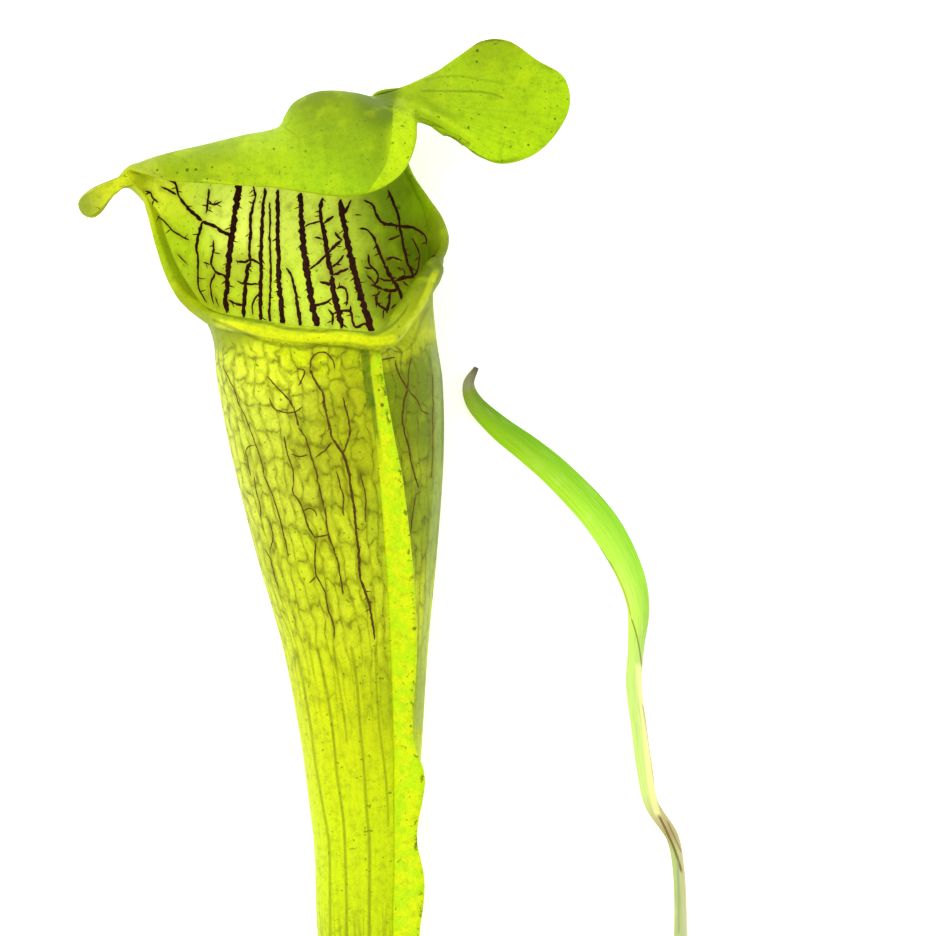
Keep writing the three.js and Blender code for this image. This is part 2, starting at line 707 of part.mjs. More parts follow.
function rootGeometry(number) {
  const side = number % 2 ? 1 : -1;
  const share = (number + 0.5) / ROOT_COUNT;
  const startY = mix(-291, -322, share);
  const [x] = lookUp([...RHIZOME].reverse(), startY);
  const length = mix(...ROOT_LENGTH, chance(number + 1));
  // Headings in degrees from +X for the right side, mirrored for the left; roots near the crown point
  // sideways and those at the old end point back.
  const heading = mix(-8, -72, share) + 16 * (chance(number + 21) - 0.5);
  const swing = 26 * (chance(number + 41) - 0.5);
  const path = [new THREE.Vector3(x + side * 3, startY, 5)];
  const reach = 9 * Math.cos(radians(heading)) + 4;
  path.push(new THREE.Vector3(x + side * reach, startY - 2, 3.2 + 1.5 * chance(number + 61)));
  for (let k = 1; k <= 5; k += 1) {
    const turn = radians(heading + swing * Math.sin(1.3 * k));
    const last = path.at(-1);
    const step = length / 5;
    const next = new THREE.Vector3(side * step * Math.cos(turn), step * Math.sin(turn), 0).add(last);
    path.push(next.setZ(k === 1 ? 1.2 : mix(...ROOT_RADIUS, k / 5) * 0.87));
  }
  const curve = new THREE.CatmullRomCurve3(path, false, "centripetal");
  const rows = Array.from({ length: ROOT_STEPS + 1 }, (_, k) => {
    const at = k / ROOT_STEPS;
    const centre = curve.getPointAt(at);
    const along = curve.getTangentAt(at);
    const across = new THREE.Vector3(along.y, -along.x, 0).normalize();
    const up = new THREE.Vector3().crossVectors(across, along).normalize();
    const radius = mix(...ROOT_RADIUS, at);
    return Array.from({ length: ROOT_SIDES }, (_, i) => {
      const angle = (2 * Math.PI * (i + 0.5)) / ROOT_SIDES;
      const point = centre
        .clone()
        .addScaledVector(across, radius * Math.cos(angle))
        .addScaledVector(up, radius * Math.sin(angle));
      point.z = Math.max(FLOOR, point.z);
      return point;
    });
  });
  const tip = curve.getPointAt(1).addScaledVector(curve.getTangentAt(1), 1);
  return ringSolid(rows, curve.getPointAt(0), tip);
}

// A solid in the shape of the pitcher's foot with room round it, to cut its socket.
function footSocket() {
  const sides = 24;
  const rows = [STALK_END, tubeHeight(1)].map((y) =>
    Array.from({ length: sides }, (_, i) => tubePoint(y, (-360 * i) / sides, SOCKET_GAP)),
  );
  rows.unshift(rows[0].map((p) => new THREE.Vector3(p.x, STALK_END - SOCKET_GAP, p.z)));
  const centre = (row) => row.reduce((sum, p) => sum.add(p), new THREE.Vector3()).divideScalar(sides);
  return ringSolid(rows, centre(rows[0]), centre(rows.at(-1)));
}

function rhizomeGeometry() {
  let solid = solidOf(rhizomeBody());
  for (let number = 0; number < ROOT_COUNT; number += 1) solid = solid.add(solidOf(rootGeometry(number)));
  [footSocket(), strapGeometry(SOCKET_GAP), budGeometry(SOCKET_GAP)].forEach((foot) => {
    solid = solid.subtract(solidOf(foot));
  });
  return geometryOf(solid);
}

// The object

const plant = new THREE.Group();

function add(name, geometry, color, roughness) {
  const material = new THREE.MeshStandardMaterial({ color, roughness, metalness: 0 });
  const mesh = new THREE.Mesh(geometry, material);
  mesh.name = name;
  plant.add(mesh);
}

add("pitcher", pitcherGeometry(), 0xbfd42a, 0.5);
add("narrow_leaf", strapGeometry(), 0xadde3c, 0.5);
add("leaf_bud", budGeometry(), 0xc8b46a, 0.6);
add("rhizome", rhizomeGeometry(), 0x6b4a2f, 0.8);

export default plant;
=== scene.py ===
# A trumpet pitcher plant lifted from the ground and laid on its back: the looks.
#
# Lengths in the tables are millimetres in the model's own frame: +X right, +Y from the roots to the
# hood, +Z up towards the camera. Meshes are scaled to metres when they are made.
# The tables of ribs and outlines are the solids' own, drawn a little closer to the real edges.

import math

import bpy
import numpy as np
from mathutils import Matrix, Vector
from mathutils.bvhtree import BVHTree


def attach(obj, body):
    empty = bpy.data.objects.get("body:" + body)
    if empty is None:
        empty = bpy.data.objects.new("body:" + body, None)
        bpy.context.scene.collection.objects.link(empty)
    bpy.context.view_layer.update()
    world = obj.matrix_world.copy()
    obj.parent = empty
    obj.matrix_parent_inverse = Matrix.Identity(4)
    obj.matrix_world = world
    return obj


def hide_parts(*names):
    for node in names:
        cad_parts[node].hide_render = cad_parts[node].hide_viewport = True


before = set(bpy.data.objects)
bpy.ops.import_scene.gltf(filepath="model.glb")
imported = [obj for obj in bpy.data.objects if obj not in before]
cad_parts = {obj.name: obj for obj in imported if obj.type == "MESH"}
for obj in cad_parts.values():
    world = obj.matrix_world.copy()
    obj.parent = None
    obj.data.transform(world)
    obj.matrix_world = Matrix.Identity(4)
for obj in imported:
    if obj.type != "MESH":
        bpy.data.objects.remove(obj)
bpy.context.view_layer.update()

MM = 0.001

# Camera

PLANE_Z = 20.0  # the height at which the photo's scale was read
VIEW_CENTRE = (25.74, -24.84)
VIEW_WIDTH = 168.48
VIEW_DISTANCE = 1404.0
CAMERA_POINT = np.array([*VIEW_CENTRE, PLANE_Z + VIEW_DISTANCE])

# Dimensions of the pitcher

WALL = 0.9
FLOOR = 0.0
CAVITY_END = -188.0
CAVITY_TIP = 2  # how far its point goes on from there
STALK_END = -291.6
COLLAR = -8.1
TOP_LEVEL = 8
EVEN_TO = 80  # degrees from the front up to which rows are spread evenly along the ribs
LEVEL_FROM = 125  # degrees from which they follow the ribs' levels
LEVEL_LENGTH = 10  # mm of the tube to one level

# Sections of the tube and of the back of the mouth: y, centre x, centre z, half width, half depth.
TUBE = [
    (-291.6, 24.7, 7.6, 4.4, 4.2),
    (-273.6, 20.9, 7.4, 4.0, 3.8),
    (-246.6, 17.5, 7.3, 4.3, 4.1),
    (-210.6, 14.0, 7.6, 5.2, 4.9),
    (-174.6, 11.3, 8.2, 6.3, 6.0),
    (-138.6, 9.0, 8.6, 7.2, 6.9),
    (-109.0, 6.9, 9.0, 8.5, 7.9),
    (-93.6, 7, 9.8, 9.15, 8.7),
    (-84, 6.7, 10.5, 10, 9.5),
    (-75.6, 6.5, 11.3, 10.85, 10.3),
    (-57.6, 5.4, 13.0, 13.1, 12.3),
    (-39.6, 3.75, 15.6, 16.45, 15.2),
    (-21.6, 2.15, 17.9, 19.25, 17.8),
    (COLLAR, 0.75, 18.3, 20.35, 18.9),
    (0, -0.35, 18.4, 20.25, 19.1),
    (8, -3.75, 18.9, 23.3, 19.7),
    (20, -5, 20.5, 26.5, 19.8),
]
MOUTH = [row[0] for row in TUBE if row[0] > COLLAR]
TWIST = [
    (-291.6, 24),
    (-109, 22),
    (-75.6, 15),
    (-39.6, 6),
    (COLLAR, 0),
]
# The wing down the front: y, how far it stands out.
WING = [
    (-291.6, 0),
    (-275, 0),
    (-250, 1.5),
    (-180, 3.2),
    (-125, 4.2),
    (-109, 4),
    (-103, 4.8),
    (-98, 4.7),
    (-92.5, 3.3),
    (-89, 3.4),
    (-84.5, 4.4),
    (-80, 5),
    (-78, 4.5),
    (-75, 3),
    (-71, 2.6),
    (-65, 3.1),
    (-60, 3.8),
    (-54, 4.2),
    (-43, 4.3),
    (-34, 3.9),
    (-26, 3.3),
    (-19, 2.3),
    (-13, 1.8),
    (COLLAR, 1.7),
]
WING_LEAN = 32
WING_ANGLE = 24
WING_FADE = 0.95  # how much of it is gone at the hood's top level
# Across the wing, left root to right root: sideways place in mm, share of its height.
WING_SECTION = [
    (-1.3, 0.02),
    (-1.0, 0.08),
    (-0.75, 0.28),
    (-0.6, 0.62),
    (-0.52, 0.88),
    (-0.3, 0.97),
    (0, 1),
    (0.3, 0.97),
    (0.52, 0.88),
    (0.6, 0.62),
    (0.75, 0.28),
    (1.0, 0.08),
    (1.3, 0.02),
]
WING_ROOT = 1.5

THIN = WALL / 2
LIP = 1.5
LIP_RIGHT = 2.1


def rib(angle, sections, points, radius, levels=None):
    """One rib: its angle in degrees from the front, how many mouth sections it passes, its points
    from there to the margin, the margin's radius and its points' levels if not evenly spread."""
    if levels is None:
        count = len(points)
        levels = [sections + (TOP_LEVEL - sections) * (k + 1) / count for k in range(count)]
    return {"angle": angle, "sections": sections, "points": points, "radius": radius, "levels": levels}


LIP_RIBS = [
    rib(8, 0, [(3.6, -0.2, 38.5)], LIP),
    rib(-14, 0, [(-4.5, 0.6, 38)], LIP),
    rib(-40, 0, [(-12.8, 1.9, 34.8)], LIP),
    rib(-66, 0, [(-19.1, 3.2, 27.5)], 1.4),
]

SIDE_LEVELS = [3, 4.25, TOP_LEVEL]
LEFT_FLANK = [
    rib(-84, 1, [(-23.7, 5.3, 22)], 1.2),
    rib(-94, 1, [(-26.9, 7.7, 20.8)], 0.85),
    rib(-103, 1, [(-28.9, 10.8, 20)], 0.7),
    rib(-112, 2, [(-30.5, 15.6, 20.5)], 0.6),
    rib(-120, 2, [(-27, 13.5, 11.3), (-29.8, 17.4, 16.6), (-32, 20.9, 21.5)], 0.5, SIDE_LEVELS),
    rib(-123.5, 2, [(-27, 17, 10.3), (-30.3, 20, 16.3), (-33.1, 23.9, 21.8)], THIN, SIDE_LEVELS),
]

# The tongue at the mouth's left corner: the angles of its ribs, lines across its root, its shoulder and
# its neck, lower to upper edge, and its outline.
TONGUE_ANGLES = (-129, -138)
TONGUE_ROOT = [(-30.9, 21.8, 16.2), (-29.4, 25.2, 14.5)]
TONGUE_SHOULDER = [(-34.1, 24.7, 20.2), (-33.2, 28.1, 18.8)]
TONGUE_NECK = [(-36, 26, 22), (-35.8, 28.2, 21.6)]
TONGUE_OUTLINE = [
    (-36.9, 24.8, 22.2),
    (-38.8, 22.9, 22.3),
    (-41.1, 20.1, 22),
    (-43.4, 20.6, 21.8),
    (-44.4, 22.6, 22),
    (-43.5, 24.4, 22.3),
    (-40.6, 26.1, 22.6),
    (-37.5, 27.3, 22.7),
]

# The hood's front: up the back column, over the crest, and down the flap to its lower margin. Each rib's
# angle, and its points past the third mouth section.
FLAP = [
    (-142, [
        (-28, 26.6, 13.2), (-31.3, 29.6, 17.4), (-32.6, 30.5, 20), (-33, 29.9, 22.3), (-33, 28.5, 23.6)
    ]),
    (-147, [
        (-25.5, 27, 11.2), (-28.6, 30.7, 16.2), (-28.8, 31.8, 19.3), (-28.6, 30, 22.5), (-28.3, 27.1, 24.5)
    ]),
    (-154, [
        (-20.5, 28, 8), (-22, 31.8, 12.6), (-22, 33.5, 17.3), (-21.8, 31, 22.5), (-21.6, 26.6, 26)
    ]),
    (-161, [
        (-14.5, 29, 5.8), (-15.1, 33.1, 11), (-15.3, 35.2, 16.3), (-15, 32, 22.5), (-14.8, 26.1, 27.5)
    ]),
    (-168, [
        (-9.8, 29.8, 4.6), (-8.9, 34.7, 9.8), (-8.4, 36.9, 15.6), (-8.4, 33, 22.5), (-8.1, 25.6, 28.5)
    ]),
    (-171, [
        (-8, 30.4, 4.2), (-7.2, 36.4, 9.1), (-7.4, 38.9, 14.4), (-6.5, 33.8, 21.8), (-5.9, 25.2, 28.8)
    ]),
    (-174, [
        (-6.4, 31, 3.8), (-5.7, 38.6, 8.3), (-5.9, 41.2, 13.2), (-4.5, 34.7, 21.3), (-3.6, 24.9, 29)
    ]),
    (-178, [
        (-4.6, 31, 3.8), (-3.7, 39.8, 8.6), (-3, 42.8, 13.6), (-1.2, 35.4, 21.5), (0.9, 24.2, 29.3)
    ]),
    (-182, [
        (-3, 31, 3.8), (-2.1, 40.2, 8.8), (-1, 43.3, 14.3), (2.2, 35.8, 22), (4.9, 24.1, 29.3)
    ]),
    (-185, [
        (-1.6, 31, 3.8), (-0.8, 40.4, 9), (0.6, 43.4, 14.7), (5, 36.2, 22.3), (8.6, 24.8, 29)
    ]),
    (-188, [
        (-0.4, 31, 3.9), (0.4, 40.5, 9.1), (2, 43.4, 14.9), (7, 37, 22.3), (11.5, 26.2, 27.8)
    ]),
]

# The strip at the flap's right end, up to the corner under the paddle's neck.
STRIP = [
    (-191, [
        (0.8, 31, 4), (1.5, 40.5, 9.1), (3.1, 43.3, 14.9), (8.4, 37.8, 21.6), (14.1, 28.4, 26.3)
    ]),
    (-193.5, [
        (1.8, 31, 4.1), (2.4, 40.4, 9), (4, 43.2, 14.7), (9.2, 38.6, 20.9), (15.8, 31.5, 24.3)
    ]),
    (-196, [
        (2.8, 31, 4.3), (3.2, 40.3, 8.9), (4.7, 43.1, 14.4), (9.8, 39.4, 20), (16.6, 34.6, 22)
    ]),
    (-198, [
        (3.6, 31, 4.5), (3.8, 40.2, 8.8), (5.3, 43, 14.1), (10.4, 40.2, 18.8), (17, 37.9, 19.5)
    ]),
]

# The paddle: the angles of its ribs, lines across its column, shoulder, crest, rise and neck, lower to
# upper edge, and its outline from the corner round.
PADDLE_ANGLES = (-200, -229)
PADDLE_COLUMN = [(4.1, 31, 4.6), (12.3, 31, 6.9)]
PADDLE_SHOULDER = [(4.2, 40.2, 8.8), (8.7, 39.7, 8.3)]
PADDLE_CREST = [(5.7, 42.9, 13.9), (8.2, 42.1, 11.2)]
PADDLE_RISE = [(10.9, 40.6, 18), (10.6, 43, 13)]
PADDLE_NECK = [(16.6, 39.2, 18.2), (13.8, 44, 13.4)]
PADDLE_OUTLINE = [
    (20.9, 36.7, 17.5),
    (26.2, 32.6, 16),
    (31.5, 30.1, 14.5),
    (37.6, 31.7, 13.2),
    (42, 35.9, 12.4),
    (44.3, 41, 12),
    (43.2, 46, 12),
    (38.2, 49.2, 12.4),
    (33, 52.6, 12.8),
    (28.4, 52.6, 13.2),
    (23.8, 49, 13.4),
    (18.6, 46.3, 13.4),
    (15.6, 44.9, 13.4),
]
PADDLE_DOME = 1.2  # how far the middle of the paddle stands forward
PADDLE_LEVELS = [4, 5, 6, 6.5, 7, 7.5, TOP_LEVEL]

# The free right edge of the back column, down to the mouth's right side.
RIGHT_FLANK = [
    rib(
        -231.5, 3,
        [(12.8, 31, 7.1), (9.3, 39.7, 8.4), (9.2, 42.3, 11.6)],
        THIN, [4, 5, TOP_LEVEL],
    ),
    rib(-234, 3, [(13.4, 31, 7.5), (10.4, 40.7, 9.2)], THIN, [4, TOP_LEVEL]),
    rib(-237, 3, [(14.1, 30, 8), (12.3, 37.2, 8.4)], THIN, [4, TOP_LEVEL]),
    rib(-241, 3, [(13.8, 33.5, 9)], THIN),
    rib(-246, 3, [(15.2, 29.5, 11)], 0.5),
    rib(-253, 2, [(19.5, 15, 13.6), (18.6, 24.2, 14)], 0.6, [3, TOP_LEVEL]),
    rib(-261, 2, [(21.2, 20.2, 17.3)], 0.65),
    rib(-269, 2, [(22, 17, 19)], 0.75),
    rib(-276, 2, [(20.7, 13.8, 21)], 0.8),
    rib(-281, 1, [(18.5, 12.8, 23.3)], 1.9),
    rib(-290, 1, [(17, 10.8, 26)], LIP_RIGHT),
    rib(-304, 1, [(15.1, 7.7, 29.5)], LIP_RIGHT),
    rib(-320, 1, [(13.1, 4.4, 33)], 2),
]

# The two ribs on either side of the wing, which ends under the lip's lowest point.
WING_RIBS = [
    rib(WING_ANGLE + 4 - 360, 0, [(11, 0.4, 36.6)], 1.8),
    rib(WING_ANGLE - 4, 0, [(8.4, -0.4, 37.8)], 1.7),
]

# Folds in the hood's front, seen from the camera: depth, reach to either side, and where they run.
FOLDS = [
    (0.9, 2.6, [(7.5, 42.5), (11.6, 40.8), (12.1, 38.2), (11.3, 35.1), (11, 32.6), (10.8, 30.5)]),
    (0.35, 2.6, [(-8, 37.5), (-5.5, 34.5), (-2, 30)]),
    (0.3, 1.6, [(16, 42), (21, 43.4), (29, 42.4), (38, 41)]),
    (0.3, 1.5, [(16, 40.5), (20, 38.6), (25.5, 37), (33, 37.5)]),
]
FOLD_LEVELS = (5.9, 6.6)  # they begin here

# Mesh spacing of the pitcher
COLUMN_GAP = 0.95  # widest distance between neighbouring columns
TUBE_HEIGHTS = np.concatenate([
    np.linspace(STALK_END, -112, 24, endpoint=False),
    np.linspace(-112, COLLAR, 44),
])
TUBE_ROWS = len(TUBE_HEIGHTS)
HOLLOW_ROWS = 14
EDGE_ROWS = 9
EDGE_TURN = 160  # degrees that the rolled edge turns to
RIB_STEPS = 60  # to measure a rib's length between two of its points
CURVE_STEPS = 40  # the same for other curves
HOOD_LEVELS = np.concatenate([
    np.linspace(0, 4, 40)[1:],
    np.linspace(4, TOP_LEVEL, 46)[1:],
])

# Dark veins on the back wall inside the mouth: width at the start and at the end, and points (x, y)
# as seen from the camera at the height PLANE_Z.
INNER_VEINS = [
    (1.25, 0.9, [
        (-15.5, 26.5), (-15.8, 24), (-16.2, 21.1), (-16.6, 18.3), (-17, 15.6), (-17.3, 12.9),
        (-17.5, 10.2), (-17.7, 7.4), (-17.8, 3.3)
    ]),
    (0.31, 0.55, [
        (-12.9, 26), (-12.5, 24.2), (-13.2, 21.9), (-13.4, 19.5), (-13.5, 16.8), (-13.6, 14.1),
        (-13.4, 12.5)
    ]),
    (0.62, 0.78, [(-13.4, 12.5), (-14.1, 10.5), (-14.3, 8.2), (-14.5, 5.1), (-14.7, 2.3)]),
    (0.47, 0.7, [
        (-10.8, 25.6), (-11.1, 22.3), (-11.3, 19.1), (-11.5, 15.2), (-11.5, 11.3), (-11.6, 7.4),
        (-11.6, 1.6)
    ]),
    (0.23, 0.35, [(-9.9, 23), (-9.9, 19.1), (-10, 16.8), (-9.8, 12.9), (-9.8, 9), (-10, 5.1), (-9.9, 1.2)]),
    (0.55, 0.86, [
        (-8.5, 25.4), (-8.5, 22.3), (-8.5, 18.3), (-8.4, 14.4), (-8.3, 11.3), (-8.2, 8.2), (-7.9, 5.1),
        (-7.6, 0.8)
    ]),
    (0.27, 0.66, [(-6.9, 11.3), (-5.9, 9.4), (-5.4, 7), (-4.9, 4.3), (-4.4, 0.6)]),
    (0.86, 1.25, [
        (-4.4, 24.6), (-4.3, 21.1), (-4.1, 18), (-3.8, 14.8), (-3.4, 11.3), (-2.9, 8.6), (-2.6, 5.9),
        (-2, 3.1), (-1.3, 0.6)
    ]),
    (0.55, 0.94, [(-0.6, 23.8), (-0.9, 21.1), (-0.4, 18.3), (0.2, 15.6), (0.6, 12.5), (1.2, 9.8)]),
    (0.94, 1.09, [(1.2, 9.8), (1.5, 7), (2.1, 4.3), (3.1, 0.4)]),
    (0.94, 1.41, [
        (2.6, 23.5), (3, 21.5), (3.6, 18.3), (4.1, 15.6), (4.8, 12.9), (5.4, 10.2), (6.2, 7), (7.2, 3.9),
        (8.5, -0.6)
    ]),
    (0.39, 0.55, [(4.8, 23.3), (4, 21.9), (3.2, 20.9)]),
    (0.27, 0.59, [(6.2, 18.3), (7.4, 18), (8.6, 17), (9.3, 15.6), (9.9, 13.7), (10.7, 11.7)]),
    (0.59, 0.86, [(10.7, 11.7), (11.7, 9.8), (12.9, 8.2), (13.9, 5.5)]),
    (0.39, 0.62, [
        (11.4, 25.1), (12.4, 22.6), (13.3, 19.9), (13.7, 17.6), (14.2, 14.8), (14.8, 12.5), (15.6, 10.5),
        (16, 9.3)
    ]),
    (0.31, 0.51, [(7, 23.4), (8.6, 22.6), (9.3, 20.7), (10.3, 19.3), (11.9, 18.9), (13.4, 18.7)]),
    (0.51, 0.27, [(13.4, 18.7), (15.4, 18.5), (17.2, 17.8), (18.1, 16.8), (18.3, 15)]),
    (0.23, 0.39, [(15.6, 16.5), (16.6, 14.8), (17, 12.9), (16.8, 10.9), (15.8, 9.5)]),
    (0.51, 0.59, [(15.8, 9.6), (14.2, 9.4), (12.7, 8.8)]),
    (0.31, 0.43, [(18.7, 12.9), (19.7, 13.4), (20.9, 12.4)]),
    (0.23, 0.39, [(-29.5, 25.8), (-28.1, 25), (-26.7, 24.4)]),
    (0.31, 0.66, [
        (-28.3, 27.1), (-26.9, 26.5), (-26.6, 25.2), (-26.4, 24.2), (-25.2, 22.6), (-23.8, 21.1),
        (-22.1, 19.6)
    ]),
    (0.55, 0.62, [(-22.1, 19.6), (-19.7, 18.5), (-18.2, 17.6), (-16.9, 17)]),
    (0.62, 0.31, [
        (-22.1, 19.6), (-22.7, 17.2), (-23.2, 15.2), (-22.8, 12.9), (-22.9, 10.5), (-22.8, 8.2),
        (-22.3, 6.6), (-21.2, 4.9)
    ]),
    (0.31, 0.23, [(-32.2, 25.1), (-31.4, 24.8), (-30.9, 23.6), (-30, 23)]),
    (0.35, 0.16, [(-29.9, 20.4), (-28.9, 19.6), (-27.5, 18), (-26.4, 17.2), (-24.5, 16.1)]),
    (0.23, 0.16, [(-26.6, 13.7), (-25.8, 12.9), (-24.9, 12)]),
    (0.35, 0.43, [(-20.8, 25.5), (-21.1, 23.4), (-21.4, 21)]),
    (0.31, 0.2, [(-21.1, 22.9), (-19.7, 22.6), (-18.6, 23.2)]),
    (0.31, 0.39, [(-20.1, 16.1), (-20, 14.1), (-20.5, 12.1), (-19.7, 10.5), (-18.2, 9.8), (-17.5, 9.1)]),
    (0.31, 0.23, [(-21.9, 12.3), (-20.8, 11.8)]),
    (0.23, 0.16, [(-20, 13.9), (-18.9, 13.6)]),
    (0.31, 0.23, [(-19.7, 10.2), (-20.6, 8.6), (-20.5, 6.6), (-20.1, 4.6)]),
    (0.23, 0.2, [(-19.8, 5.9), (-19.1, 4.2)]),
    (0.31, 0.35, [(-15.9, 12.5), (-14.7, 12.2), (-13.5, 12.7), (-11.8, 12)]),
    (0.27, 0.31, [(-15.8, 8.9), (-15, 8.3), (-14.1, 8.3), (-11.9, 8.2)]),
    (0.31, 0.47, [(-17.5, 5.5), (-15.8, 4.6), (-14.7, 4.5)]),
    (0.23, 0.2, [(-12, 6.4), (-12.9, 5.1), (-13.1, 2.7)]),
    (0.2, 0.2, [(-3.7, 18.6), (-2.2, 19.3), (-0.7, 19.5)]),
    (0.23, 0.51, [(-0.3, 19.1), (0.6, 19.8), (1.5, 20.5)]),
    (0.31, 0.31, [(-1.7, 16.7), (-0.5, 16.4)]),
    (0.31, 0.39, [(-2.9, 10.9), (-1.6, 11.7), (-0.2, 13.1), (0.8, 14.1), (2.1, 15.4), (3, 16.3)]),
    (0.35, 0.35, [(1.9, 17.6), (2.3, 16.9), (3, 16.3)]),
    (0.35, 0.43, [(1.2, 11.3), (2.5, 12.3), (3.5, 13.7)]),
    (0.35, 0.35, [(1.3, 9.7), (2.9, 10.5), (4.3, 11)]),
    (0.39, 0.47, [(-0.9, 8.8), (0.4, 8.4), (1.3, 8.1)]),
    (0.47, 0.39, [(-2, 4.4), (-0.4, 4.7), (1.2, 5.5)]),
    (0.31, 0.27, [(1.9, 7.4), (2.9, 7.8), (3.8, 7.3), (4.1, 5.5), (3.7, 4.3)]),
    (0.39, 0.35, [(2.1, 3.4), (3.7, 3.5), (4.7, 3.3), (4.9, 1.6), (5.4, 0.4), (6.4, 0.8), (7.7, 1.3)]),
    (0.31, 0.31, [(4.5, 4.4), (4.7, 3.3)]),
    (0.31, 0.27, [(0.7, 3.6), (1.5, 2.7), (1.2, 0.8)]),
    (0.27, 0.47, [(7.7, 13.7), (8, 11.7), (9.3, 10.5), (9.5, 9), (9, 8), (10.3, 7.4)]),
    (0.47, 0.47, [(10.3, 7.4), (11.7, 7), (13.3, 7.4)]),
    (0.31, 0.31, [(7.1, 11.3), (8.5, 11.1)]),
    (0.47, 0.51, [(11.9, 6.8), (11.5, 5.1), (11.1, 3.1)]),
    (0.31, 0.47, [(9.1, 5.1), (10.3, 4.1), (11.3, 3.3)]),
    (0.31, 0.23, [(11.9, 3.9), (12.9, 4.6)]),
    (0.27, 0.23, [(11.3, 12.9), (12.5, 13.1), (13.9, 12.4)]),
    (0.27, 0.23, [(11.3, 16.3), (12.5, 16.6), (13.5, 17.1)]),
    (0.23, 0.2, [(5.4, 20.7), (6.5, 20.7)]),
    (0.35, 0.16, [(14.7, 25.1), (15.2, 24.9)]),
    (0.27, 0.23, [(9.7, 9.4), (10.9, 8.9), (12.4, 9)]),
    (0.27, 0.23, [(7.6, 10), (8.4, 9), (9.2, 8)]),
    (0.27, 0.2, [(9.9, 7), (9.3, 5.9), (9.5, 4.5)]),
    (0.23, 0.23, [(13.1, 11.1), (13.9, 10.9)]),
    (0.27, 0.27, [(13.8, 8.6), (15, 8)]),
    (0.23, 0.2, [(10.5, 3.7), (10.5, 2.2)]),
    (0.23, 0.23, [(-6.9, 22.6), (-6.4, 22.3)]),
    (0.23, 0.2, [(-18.9, 21.5), (-18.7, 20.8)]),
    (0.16, 0.23, [(13.9, 11.3), (14.4, 10.4), (14.2, 9.5)]),
    (0.31, 0.31, [(8.3, 8.2), (9.3, 7.8), (10.3, 7.4)]),
    (0.2, 0.2, [(8.4, 6), (9.1, 6.3), (9.9, 6.4)]),
    (0.27, 0.27, [(9.1, 6.2), (9.2, 5.1)]),
    (0.39, 0.39, [(1.4, 2.9), (2.3, 3.5)]),
    (0.16, 0.2, [(10.9, 12.6), (11.9, 12.9)]),
]

